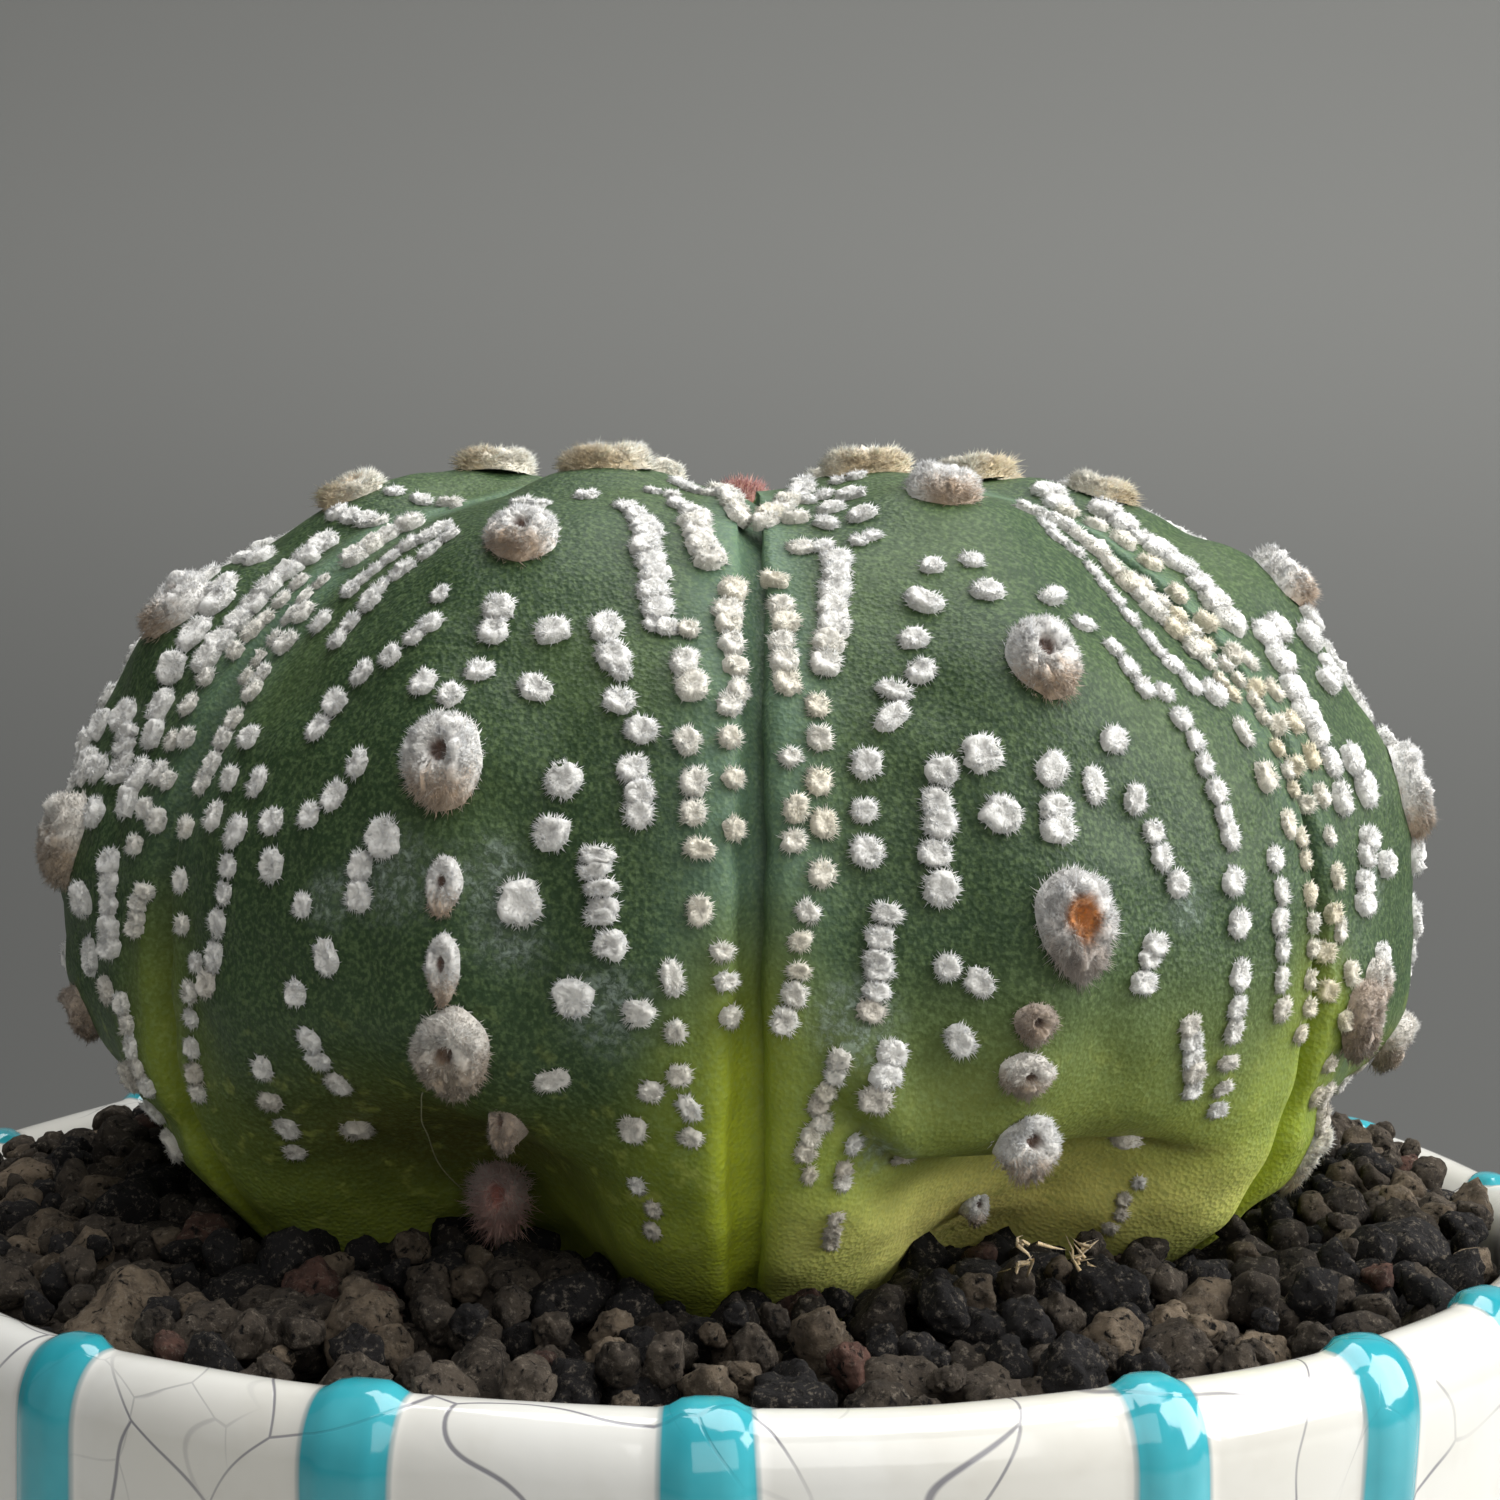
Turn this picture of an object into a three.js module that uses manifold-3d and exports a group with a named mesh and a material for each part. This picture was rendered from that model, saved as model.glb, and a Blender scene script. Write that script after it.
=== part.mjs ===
// Potted round cactus: an eight-ribbed globe with woolly areoles and white wool flecks, growing in
// dark grit in a handmade glazed pot with raised upright bands.
// Millimetres, +Z up. The origin is the middle of the pot's foot ring, on the surface it stands on.
// Angles run from the front (-Y) towards the right (+X).
import * as THREE from 'three';
import { mergeVertices } from 'three/addons/utils/BufferGeometryUtils.js';
import Module from 'manifold-3d';

const wasm = await Module();
wasm.setup();

// Driving dimensions
const RIM_EDGE = 76;            // height of the rim's inner edge
const RIM_CROWN = 0.7;          // the lip's crown stands this far over the inner edge
const MOUTH_R = 45.4;           // radius of the rim's inner edge
const WALL = 4.4;               // wall thickness at the rim
const FOOT_R = 38;              // outer radius of the foot ring
const FOOT_WIDTH = 5;
const FOOT_HEIGHT = 4.6;
const FLOOR_TOP = 9;            // upper face of the pot's floor
const DRAIN_R = 6;
const RIM_DIP = 1.9;            // the rim sags this much at its left and its right
const RIM_DIP_AT = 114;         // angle of the lowest point of each sag, to either side of the front
const RIM_DIP_SPREAD = 40;
const BAND_WIDTH = 4.6;         // degrees
const BAND_EDGE = 0.7;          // degrees taken by each sloping side of a band
const BAND_RELIEF = 0.5;
const BAND_ANGLES = [
  -160, -142, -124, -105, -88, -71, -53, -35.7, -17.1, 0.6,
  24.5, 39, 53.2, 72, 94.5, 115.5, 131, 147, 163, 180,
];
const GAP = 0.3;                // clearance between two pieces that touch

const SCREEN_R = 11;
const SCREEN_THICK = 0.8;
const SCREEN_HOLE = 3.2;
const SCREEN_SIDES = 20;
const SCREEN_PITCH = 4.6;

const AXIS_X = 1.4;             // the plant stands this far to the right of the pot's middle
const GROOVES = [-180, -136, -94, -50.5, 1.2, 51.5, 94, 137, 180];
const TUCK = [0.3, 0.3, 0.25, 1, 0.8, 0.1, 0.3, 0.3]; // how far each rib's foot draws in
const TUCK_DEPTH = 7.5;
const LIP_AT = 0.9;             // the rounded groove lip, as a share of the way from ridge to groove

// Lengthwise profiles: level (0 at the crown, 1 below the soil), radius, height over the rim's edge
const RIDGE = [
  [0, 0, 35.2], [0.07, 5.5, 37.8], [0.16, 13, 40.7], [0.26, 21, 40], [0.36, 28.4, 36.6],
  [0.46, 34.4, 31], [0.56, 37.8, 23.6], [0.64, 38.5, 16.8], [0.72, 37.3, 10.4], [0.8, 34.2, 5.6],
  [0.87, 31, 2], [0.94, 26, -2.5], [1, 17, -7], [1.1, 9, -19], [1.2, 0, -38],
];
const LIP = [
  [0, 0, 35.2], [0.07, 5.5, 37.4], [0.16, 13, 40.1], [0.26, 21, 38.9], [0.36, 27.9, 35.2],
  [0.46, 33.6, 29.6], [0.56, 37, 22.6], [0.64, 37.7, 16.2], [0.72, 37, 10], [0.8, 35, 5.4],
  [0.87, 32.2, 2], [0.94, 26.5, -2.5], [1, 17, -7], [1.1, 9, -19], [1.2, 0, -38],
];
const GROOVE = [
  [0, 0, 35.2], [0.07, 5, 36.6], [0.16, 12, 39], [0.26, 19.8, 37.6], [0.36, 26.3, 34],
  [0.46, 31.6, 28.4], [0.56, 34.6, 21.8], [0.64, 35.2, 15.8], [0.72, 34.6, 10], [0.8, 33, 5.4],
  [0.87, 30.6, 2], [0.94, 25, -2.5], [1, 17, -7], [1.1, 9, -19], [1.2, 0, -38],
];
const COLUMNS = [-1, -0.9, -0.53, -0.17, 0.17, 0.53, 0.9];
const LEVELS = [0.07, 0.15, 0.23, 0.31, 0.39, 0.47, 0.55, 0.63, 0.71, 0.79, 0.87, 0.94, 1, 1.1];
const CROWN_Z = 35.2;
const TIP_Z = -38;
const BUD_R = 2.5;              // the bud of new wool in the middle of the crown
const BUD_HEIGHT = 6;

// Wool on a rib: across (-1 and 1 are its grooves, 0 its ridge) and level, row by row.
// A row runs from one place to another with a number of flecks.
const ROWS_A = [
  [0.93, 0.36, 0.93, 0.54, 7], [0.93, 0.6, 0.93, 0.65, 3],
  [0.82, 0.43, 0.85, 0.6, 7], [0.8, 0.62, 0.84, 0.74, 5], [0.7, 0.75, 0.73, 0.79, 3],
  [0.48, 0.28, 0.72, 0.4, 8], [0.48, 0.23, 0.62, 0.25, 2], [0.74, 0.26, 0.85, 0.33, 4],
  [0.53, 0.42, 0.68, 0.48, 4], [0.35, 0.42, 0.35, 0.465, 2], [0.15, 0.43, 0.15, 0.47, 2],
  [-0.04, 0.43, -0.15, 0.45, 2], [-0.31, 0.46, -0.33, 0.5, 3], [-0.1, 0.52, -0.25, 0.545, 3],
  [0.48, 0.52, 0.45, 0.55, 2], [0.68, 0.5, 0.68, 0.54, 3], [0.57, 0.565, 0.62, 0.61, 4],
  [0.38, 0.595, 0.38, 0.595, 1], [0.53, 0.64, 0.53, 0.64, 1], [0.48, 0.685, 0.48, 0.685, 1],
  [0, 0.565, -0.08, 0.595, 2], [-0.27, 0.605, -0.17, 0.63, 2], [-0.42, 0.635, -0.42, 0.67, 2],
  [-0.3, 0.655, -0.38, 0.71, 4], [-0.5, 0.7, -0.58, 0.77, 4], [-0.35, 0.75, -0.35, 0.75, 1],
  [-0.43, 0.555, -0.42, 0.58, 2], [-0.6, 0.58, -0.68, 0.65, 5],
  [-0.4, 0.27, -0.48, 0.42, 8], [-0.62, 0.28, -0.66, 0.48, 9], [-0.8, 0.32, -0.84, 0.54, 9],
];
const ROWS_B = [
  [-0.9, 0.36, -0.9, 0.44, 5], [-0.9, 0.495, -0.9, 0.55, 3], [-0.87, 0.59, -0.9, 0.635, 4],
  [-0.8, 0.46, -0.8, 0.57, 6], [-0.62, 0.335, -0.72, 0.435, 8], [-0.85, 0.24, -0.45, 0.26, 3],
  [-0.84, 0.29, -0.42, 0.32, 4], [-0.45, 0.42, -0.6, 0.475, 4], [-0.68, 0.505, -0.7, 0.555, 3],
  [-0.45, 0.51, -0.5, 0.555, 4], [-0.32, 0.5, -0.3, 0.54, 2], [-0.47, 0.58, -0.47, 0.58, 1],
  [-0.62, 0.59, -0.68, 0.645, 5], [-0.42, 0.625, -0.42, 0.66, 2], [-0.62, 0.68, -0.62, 0.69, 1],
  [-0.78, 0.665, -0.85, 0.73, 5], [-0.7, 0.725, -0.75, 0.79, 3],
  [-0.25, 0.365, -0.35, 0.395, 2], [-0.07, 0.37, -0.12, 0.4, 2], [0.1, 0.4, 0.23, 0.42, 2],
  [0.28, 0.44, 0.43, 0.47, 3], [0.12, 0.505, 0.12, 0.505, 1], [-0.12, 0.515, -0.15, 0.545, 2],
  [0.03, 0.535, 0.12, 0.54, 2], [0.18, 0.56, 0.25, 0.59, 3], [0.4, 0.485, 0.5, 0.55, 6],
  [0.15, 0.63, 0.15, 0.63, 1], [0.51, 0.585, 0.6, 0.725, 7], [0.33, 0.665, 0.43, 0.715, 4],
  [0.4, 0.75, 0.48, 0.79, 2], [0.7, 0.465, 0.75, 0.63, 7],
  [0.3, 0.26, 0.42, 0.44, 9], [0.55, 0.28, 0.62, 0.47, 9], [0.78, 0.33, 0.84, 0.5, 8],
];
// Areoles from crown to foot: across, level, radius
const AREOLES_A = [
  [-0.07, 0.2, 2.1], [0.1, 0.355, 2], [0.15, 0.515, 2.4], [0.18, 0.605, 1.4], [0.2, 0.67, 2.3],
  [0.27, 0.725, 1.4],
];
const AREOLES_B = [
  [-0.07, 0.195, 2.1], [0.03, 0.285, 2], [-0.07, 0.45, 2.3], [-0.12, 0.61, 2.5],
  [-0.22, 0.67, 1.5], [-0.15, 0.718, 1.9],
];
const AREOLES_LEFT = [
  [-0.07, 0.18, 2.1], [0.15, 0.285, 2.1], [0.23, 0.425, 2.3], [0.25, 0.59, 2.4], [0.2, 0.7, 1.6],
];
const AREOLES_RIGHT = [
  [-0.05, 0.17, 2], [-0.02, 0.26, 2.1], [0.05, 0.395, 2.3], [0.07, 0.555, 2.4],
  [-0.68, 0.67, 1.9], [0.1, 0.72, 1.6],
];
const AREOLE_SIDES = 6;
const BUD_SIDES = 8;
const WOOL_SINK = 0.9;          // roots of the wool run this far under the skin
const FLECK_HEIGHT = 0.8;
const ROOT_SPREAD = 1.6;
const FLECKS_PER_PAD = 4;       // one raised pad stands for this many neighbouring flecks of a row
const SHORTEST_ROW = 3;         // rows with fewer flecks are left flat
const PAD_LENGTH = 2.8;
const FLECK_WIDTH = 1.7;
const SLANT = 0.03;             // greatest shift of a repeat across its rib

const SOIL_AT_RIM = -1.2;       // height of the grit at the wall, over the rim's edge
const SOIL_AT_PLANT = 1.2;      // and where it meets the plant
const SOIL_DIP = 1.3;           // the grit lies this much lower where the rim sags at the left
const MOUND_R = 33;             // the mound rises from the wall to this radius
const SOIL_SIDES = 32;
const GRAIN_COUNT = 85;
const GRAIN_MIN = 2;
const GRAIN_MAX = 3.3;

// Small helpers
const radians = THREE.MathUtils.degToRad;
const lerp = THREE.MathUtils.lerp;

function makeRandom(seed) {
  let state = seed;
  return () => {
    state = (state * 1664525 + 1013904223) % 4294967296;
    return state / 4294967296;
  };
}

function around(angle, radius, height) {
  return new THREE.Vector3(radius * Math.sin(angle), -radius * Math.cos(angle), height);
}

function geometryFrom(points, triangles) {
  const geometry = new THREE.BufferGeometry();
  const numbers = points.flatMap((p) => [p.x, p.y, p.z]);
  geometry.setAttribute('position', new THREE.Float32BufferAttribute(numbers, 3));
  geometry.setIndex(triangles);
  return geometry;
}

// Rings of points joined side by side; the ends close on a pole or, for a ring shape, on each other.
function ringSolid(rings, startPole, endPole) {
  const n = rings[0].length;
  const points = rings.flat();
  const triangles = [];
  const last = startPole ? rings.length - 1 : rings.length;
  for (let i = 0; i < last; i += 1) {
    const a = i * n;
    const b = ((i + 1) % rings.length) * n;
    for (let j = 0; j < n; j += 1) {
      const k = (j + 1) % n;
      triangles.push(a + j, b + j, b + k, a + j, b + k, a + k);
    }
  }
  if (startPole) {
    const top = points.length;
    points.push(startPole, endPole);
    const end = (rings.length - 1) * n;
    for (let j = 0; j < n; j += 1) {
      const k = (j + 1) % n;
      triangles.push(top, j, k, top + 1, end + k, end + j);
    }
  }
  return geometryFrom(points, triangles);
}

function toSolid(geometry) {
  const bare = geometry.clone();
  bare.deleteAttribute('normal');
  bare.deleteAttribute('uv');
  const merged = mergeVertices(bare, 1e-5);
  const mesh = new wasm.Mesh({
    numProp: 3,
    vertProperties: new Float32Array(merged.attributes.position.array),
    triVerts: new Uint32Array(merged.index.array),
  });
  return new wasm.Manifold(mesh);
}

function toGeometry(solid) {
  const mesh = solid.getMesh();
  const geometry = new THREE.BufferGeometry();
  geometry.setAttribute('position', new THREE.BufferAttribute(mesh.vertProperties, 3));
  geometry.setIndex(new THREE.BufferAttribute(mesh.triVerts, 1));
  return geometry;
}

function join(solids) {
  let parts = solids;
  while (parts.length > 1) {
    const next = [];
    for (let i = 0; i < parts.length; i += 2) {
      next.push(i + 1 < parts.length ? parts[i].add(parts[i + 1]) : parts[i]);
    }
    parts = next;
  }
  return parts[0];
}

// The plant's body
function alongProfile(rows, level) {
  const last = rows.length - 2;
  let i = 0;
  while (i < last && level > rows[i + 1][0]) i += 1;
  const span = rows[i + 1][0] - rows[i][0];
  const t = (level - rows[i][0]) / span;
  const slope = (at, k) => {
    const before = rows[Math.max(at - 1, 0)];
    const after = rows[Math.min(at + 1, rows.length - 1)];
    return (after[k] - before[k]) / (after[0] - before[0]);
  };
  return [1, 2].map((k) => (
    (2 * t ** 3 - 3 * t ** 2 + 1) * rows[i][k]
    + (t ** 3 - 2 * t ** 2 + t) * slope(i, k) * span
    + (3 * t ** 2 - 2 * t ** 3) * rows[i + 1][k]
    + (t ** 3 - t ** 2) * slope(i + 1, k) * span
  ));
}

// A point of the skin: rib number, place across it and level; grow moves it outwards
function skinPoint(rib, across, level, grow = 0) {
  const side = Math.abs(across);
  const toLip = side < LIP_AT ? (1 - Math.cos((Math.PI * side) / LIP_AT)) / 2 : 1;
  const toGroove = Math.max(0, (side - LIP_AT) / (1 - LIP_AT)) ** 1.9;
  const ridge = alongProfile(RIDGE, level);
  const lip = alongProfile(LIP, level);
  const groove = alongProfile(GROOVE, level);
  const tucked = THREE.MathUtils.smoothstep(level, 0.66, 0.82)
    * (1 - THREE.MathUtils.smoothstep(level, 0.9, 1));
  ridge[0] -= TUCK_DEPTH * TUCK[rib] * tucked;
  const [radius, height] = [0, 1].map((k) => (
    lerp(lerp(ridge[k], lip[k], toLip), groove[k], toGroove)
  ));
  const angle = radians(lerp(GROOVES[rib], GROOVES[rib + 1], (across + 1) / 2));
  const point = around(angle, radius + grow, height + RIM_EDGE);
  point.x += AXIS_X;
  return point;
}

function skinNormal(rib, across, level) {
  const step = 0.01;
  const acrossStep = skinPoint(rib, across + step, level).sub(skinPoint(rib, across - step, level));
  const levelStep = skinPoint(rib, across, level + step).sub(skinPoint(rib, across, level - step));
  return levelStep.cross(acrossStep).normalize();
}

function bodyShape(grow = 0) {
  const rings = LEVELS.map((level) => (
    TUCK.flatMap((_, rib) => COLUMNS.map((across) => skinPoint(rib, across, level, grow)))
  ));
  const crown = new THREE.Vector3(AXIS_X, 0, RIM_EDGE + CROWN_Z + grow);
  const tip = new THREE.Vector3(AXIS_X, 0, RIM_EDGE + TIP_Z - grow);
  return ringSolid(rings, crown, tip);
}

// Sets a shape drawn upright at the origin on the skin, its length turned down the rib
function setOnSkin(geometry, rib, across, level, turn = 0) {
  const up = skinNormal(rib, across, level);
  const down = skinPoint(rib, across, level + 0.01).sub(skinPoint(rib, across, level - 0.01));
  down.addScaledVector(up, -down.dot(up)).normalize();
  down.applyAxisAngle(up, turn);
  const sideways = new THREE.Vector3().crossVectors(up, down);
  const frame = new THREE.Matrix4().makeBasis(down, sideways, up);
  frame.setPosition(skinPoint(rib, across, level));
  return geometry.applyMatrix4(frame);
}

// A woolly pad with a hollow in its middle
function areoleShape(radius) {
  const profile = [
    [0, -WOOL_SINK - radius * 0.5], [radius, radius * 0.2], [radius * 0.55, radius * 0.6],
    [0, radius * 0.2],
  ];
  const points = profile.map(([r, z]) => new THREE.Vector2(r, z));
  return new THREE.LatheGeometry(points, AREOLE_SIDES).rotateX(Math.PI / 2);
}

// A raised pad with a ridge along its top, wider at its root than at the skin
function fleckShape(length, width) {
  const ridge = Math.max(length - width, length * 0.2) / 2;
  const wide = (width / 2) * ROOT_SPREAD;
  const long = ridge + (length / 2 - ridge) * ROOT_SPREAD;
  const points = [
    [-long, -wide, -WOOL_SINK], [long, -wide, -WOOL_SINK],
    [long, wide, -WOOL_SINK], [-long, wide, -WOOL_SINK],
    [-ridge, 0, FLECK_HEIGHT], [ridge, 0, FLECK_HEIGHT],
  ].map(([x, y, z]) => new THREE.Vector3(x, y, z));
  const faces = [0, 3, 2, 0, 2, 1, 0, 1, 5, 0, 5, 4, 2, 3, 4, 2, 4, 5, 1, 2, 5, 3, 0, 4];
  return geometryFrom(points, faces);
}

function fleckPads(rib, rows, mirror, random) {
  const pads = [];
  const longRows = rows.filter((row) => row[4] >= SHORTEST_ROW);
  for (const [across0, level0, across1, level1, count] of longRows) {
    const number = Math.max(1, Math.round(count / FLECKS_PER_PAD));
    for (let i = 0; i < number; i += 1) {
      const t = (i + 0.5) / number;
      const shift = (random() - 0.5) * SLANT;
      const across = mirror * lerp(across0, across1, t) + shift;
      const level = lerp(level0, level1, t);
      const length = PAD_LENGTH * (0.8 + 0.3 * random());
      const width = FLECK_WIDTH * (0.9 + 0.3 * random());
      pads.push(setOnSkin(fleckShape(length, width), rib, across, level));
    }
  }
  return pads;
}

function areolesOf(rib, mirror) {
  if (rib === 2) return AREOLES_LEFT;
  if (rib === 5) return AREOLES_RIGHT;
  const listed = rib % 2 === 1 ? AREOLES_A : AREOLES_B;
  return listed.map(([across, level, radius]) => [across * mirror, level, radius]);
}

function ribWool(rib, random) {
  const odd = rib % 2 === 1;
  const mirror = rib < 3 || rib === 5 ? -1 : 1;
  const areoles = areolesOf(rib, mirror).map(([across, level, radius]) => (
    setOnSkin(areoleShape(radius), rib, across, level, random())
  ));
  return [...areoles, ...fleckPads(rib, odd ? ROWS_A : ROWS_B, mirror, random)];
}

function budShape() {
  const profile = [
    [0, -BUD_R], [BUD_R, 1.2], [BUD_R * 0.88, BUD_HEIGHT * 0.6], [BUD_R * 0.5, BUD_HEIGHT * 0.9],
    [0, BUD_HEIGHT],
  ];
  const points = profile.map(([r, z]) => new THREE.Vector2(r, z));
  return new THREE.LatheGeometry(points, BUD_SIDES).rotateX(Math.PI / 2);
}

function cactusSolid() {
  const random = makeRandom(11);
  const wool = TUCK.flatMap((_, rib) => ribWool(rib, random));
  const bud = budShape().translate(AXIS_X, 0, RIM_EDGE + CROWN_Z);
  return join([bodyShape(), bud, ...wool].map(toSolid));
}

// The pot
function sagShare(angle, height) {
  const turn = THREE.MathUtils.euclideanModulo(angle + 180, 360) - 180;
  const away = (Math.abs(turn) - RIM_DIP_AT) / RIM_DIP_SPREAD;
  return Math.exp(-away * away) * Math.max(0, height / RIM_EDGE * 2 - 1);
}

function rimSag(angle, height) {
  return -RIM_DIP * sagShare(angle, height);
}

// Radius, height and the share of a band's relief at each point of the wall's section
function potSection() {
  const outer = MOUTH_R + WALL;
  const top = RIM_EDGE + RIM_CROWN;
  return [
    [DRAIN_R, FLOOR_TOP, 0], [FOOT_R + 1, FLOOR_TOP, 0], [MOUTH_R - 3.4, FLOOR_TOP + 5, 0],
    [MOUTH_R - 0.4, RIM_EDGE - 20, 0], [MOUTH_R, RIM_EDGE, 0.2],
    [MOUTH_R + WALL * 0.3, top, 1], [MOUTH_R + WALL * 0.7, top - 0.1, 1],
    [outer - 0.3, RIM_EDGE - 1.1, 1], [outer, RIM_EDGE - 3.4, 1],
    [outer - 2.2, FLOOR_TOP + 10, 1], [outer - 5, FLOOR_TOP + 1, 0.2], [FOOT_R, FOOT_HEIGHT, 0],
    [FOOT_R - 0.4, 0, 0], [FOOT_R - FOOT_WIDTH, 0, 0], [FOOT_R - FOOT_WIDTH - 0.6, FOOT_HEIGHT, 0],
    [DRAIN_R, FOOT_HEIGHT + 0.4, 0],
  ];
}

function potColumns() {
  const half = BAND_WIDTH / 2;
  return BAND_ANGLES.flatMap((centre, i) => {
    const next = i + 1 < BAND_ANGLES.length ? BAND_ANGLES[i + 1] : BAND_ANGLES[0] + 360;
    return [
      [centre - half, 0], [centre - half + BAND_EDGE, 1], [centre + half - BAND_EDGE, 1],
      [centre + half, 0], [(centre + next) / 2, 0],
    ];
  });
}

function potShape() {
  const columns = potColumns();
  const section = potSection();
  const middle = new THREE.Vector2(MOUTH_R + WALL / 2, RIM_EDGE - 3);
  const rings = section.map(([radius, height, relief]) => columns.map(([angle, raised]) => {
    const outward = new THREE.Vector2(radius - middle.x, Math.max(0, height - middle.y)).normalize();
    const lift = BAND_RELIEF * relief * raised;
    const z = height + outward.y * lift + rimSag(angle, height);
    return around(radians(angle), radius + outward.x * lift, z);
  }));
  return ringSolid(rings);
}

// The screen over the drain hole, a thin disc with square holes
function screenSolid() {
  const disc = new THREE.CylinderGeometry(SCREEN_R, SCREEN_R, SCREEN_THICK, SCREEN_SIDES);
  const holes = [-1, 0, 1].flatMap((column) => [-1, 0, 1].map((row) => (
    new THREE.BoxGeometry(SCREEN_HOLE, SCREEN_HOLE, SCREEN_THICK * 3)
      .translate(column * SCREEN_PITCH, row * SCREEN_PITCH, 0)
  )));
  return toSolid(disc.rotateX(Math.PI / 2)).subtract(join(holes.map(toSolid)));
}

// The grit: a filling mounded towards the plant, with loose grains on top
function soilTop(radius) {
  const share = THREE.MathUtils.clamp((MOUTH_R - radius) / (MOUTH_R - MOUND_R), 0, 1);
  return RIM_EDGE + lerp(SOIL_AT_RIM, SOIL_AT_PLANT, share);
}

// The grit lies lower with the rim at the left, fading towards the pot's floor
function soilDip(angle, height) {
  const left = Math.max(0, -Math.sin(radians(angle)));
  return -SOIL_DIP * left * sagShare(angle, height);
}

function soilFilling() {
  const lid = SCREEN_THICK + 2 * GAP;
  const section = [
    [SCREEN_R + GAP, FLOOR_TOP + lid], [SCREEN_R + GAP, FLOOR_TOP + GAP],
    [FOOT_R + 1 - GAP, FLOOR_TOP + GAP], [MOUTH_R - 3.4 - 2 * GAP, FLOOR_TOP + 5],
    [MOUTH_R - 0.4 - 2 * GAP, RIM_EDGE - 20], [MOUTH_R - 2 * GAP, soilTop(MOUTH_R)],
    [40, soilTop(40)], [36, soilTop(36)], [30, soilTop(30)],
  ];
  const rings = section.map(([radius, height]) => (
    Array.from({ length: SOIL_SIDES }, (_, j) => {
      const angle = (j / SOIL_SIDES) * 360;
      return around(radians(angle), radius, height + soilDip(angle, height));
    })
  ));
  const bottom = new THREE.Vector3(0, 0, FLOOR_TOP + lid);
  const top = new THREE.Vector3(0, 0, soilTop(0));
  return ringSolid(rings.reverse(), top, bottom);
}

function grainShape(size, random) {
  const grain = new THREE.OctahedronGeometry(size);
  grain.scale(0.8 + 0.4 * random(), 0.8 + 0.4 * random(), 0.65 + 0.3 * random());
  grain.rotateX(random() * Math.PI);
  grain.rotateZ(random() * Math.PI);
  return grain;
}

function grains() {
  const random = makeRandom(5);
  const placed = [];
  while (placed.length < GRAIN_COUNT) {
    const size = lerp(GRAIN_MIN, GRAIN_MAX, random());
    const outer = MOUTH_R - size - 1;
    const radius = Math.sqrt(lerp(MOUND_R ** 2, outer ** 2, random()));
    const angle = random() * 360;
    const height = soilTop(radius) + soilDip(angle, RIM_EDGE) + size * 0.15;
    const place = around(radians(angle), radius, height);
    const clear = placed.every((other) => other.place.distanceTo(place) > (other.size + size) * 0.8);
    if (clear || random() < 0.02) placed.push({ place, size });
  }
  return placed.map(({ place, size }) => {
    const shape = grainShape(size, random);
    return shape.translate(place.x, place.y, place.z);
  });
}

function soilSolid() {
  const bed = join([soilFilling(), ...grains()].map(toSolid));
  return bed.subtract(toSolid(bodyShape(GAP * 1.5)));
}

// Assembly
function piece(name, geometry, color, roughness) {
  const material = new THREE.MeshStandardMaterial({ color, roughness, metalness: 0 });
  const mesh = new THREE.Mesh(geometry, material);
  mesh.name = name;
  return mesh;
}

const group = new THREE.Group();
const screen = piece('drain_screen', toGeometry(screenSolid()), '#2b2b2b', 0.7);
screen.position.z = FLOOR_TOP + GAP + SCREEN_THICK / 2;
group.add(
  piece('pot', potShape(), '#eae8e2', 0.2),
  screen,
  piece('grit', toGeometry(soilSolid()), '#3a3230', 0.95),
  piece('cactus', toGeometry(cactusSolid()), '#3f6b43', 0.6),
);

export default group;
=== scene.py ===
import math

import bmesh
import bpy
import numpy as np
from mathutils import Matrix, Vector


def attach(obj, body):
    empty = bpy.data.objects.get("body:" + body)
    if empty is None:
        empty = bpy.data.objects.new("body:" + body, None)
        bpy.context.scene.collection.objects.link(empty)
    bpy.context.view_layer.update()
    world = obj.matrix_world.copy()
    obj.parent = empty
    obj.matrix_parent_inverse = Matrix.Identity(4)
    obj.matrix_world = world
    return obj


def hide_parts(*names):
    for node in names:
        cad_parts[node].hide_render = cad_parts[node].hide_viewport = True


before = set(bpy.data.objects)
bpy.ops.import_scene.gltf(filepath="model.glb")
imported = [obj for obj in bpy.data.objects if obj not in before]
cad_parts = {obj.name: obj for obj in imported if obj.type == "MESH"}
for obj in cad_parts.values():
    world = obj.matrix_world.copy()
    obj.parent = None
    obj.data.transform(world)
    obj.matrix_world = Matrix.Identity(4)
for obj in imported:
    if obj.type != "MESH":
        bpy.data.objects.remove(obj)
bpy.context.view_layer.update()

# Lengths are millimetres until a mesh is written. Angles run from the front (-Y) towards +X.
MM = 0.001
RIM_EDGE = 76.0
RIM_CROWN = 0.7
MOUTH_R = 45.4
WALL = 4.4
FOOT_R = 38.0
FOOT_WIDTH = 5.0
FOOT_HEIGHT = 4.6
FLOOR_TOP = 9.0
DRAIN_R = 6.0
RIM_DIP = 1.9
RIM_DIP_AT = 114.0
RIM_DIP_SPREAD = 40.0
BAND_WIDTH = 4.6
BAND_RELIEF = 0.5
BAND_ANGLES = [
    -160, -142, -124, -105, -88, -71, -53, -35.7, -17.1, 0.6,
    24.5, 39, 53.2, 72, 94.5, 115.5, 131, 147, 163, 180,
]
BAND_R = 49.0                   # a band's width is measured at this radius
SCREEN_R = 11.0
SCREEN_THICKNESS = 0.8
GAP = 0.3                       # play between the grit and what it touches
AXIS_X = 1.4
GROOVES = np.array([-180, -136, -94, -50.5, 1.2, 51.5, 94, 137, 180.0])
TUCK = np.array([0.3, 0.3, 0.25, 1, 0.8, 0.1, 0.3, 0.3])
TUCK_DEPTH = 7.5
LIP_AT = 0.9
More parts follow.
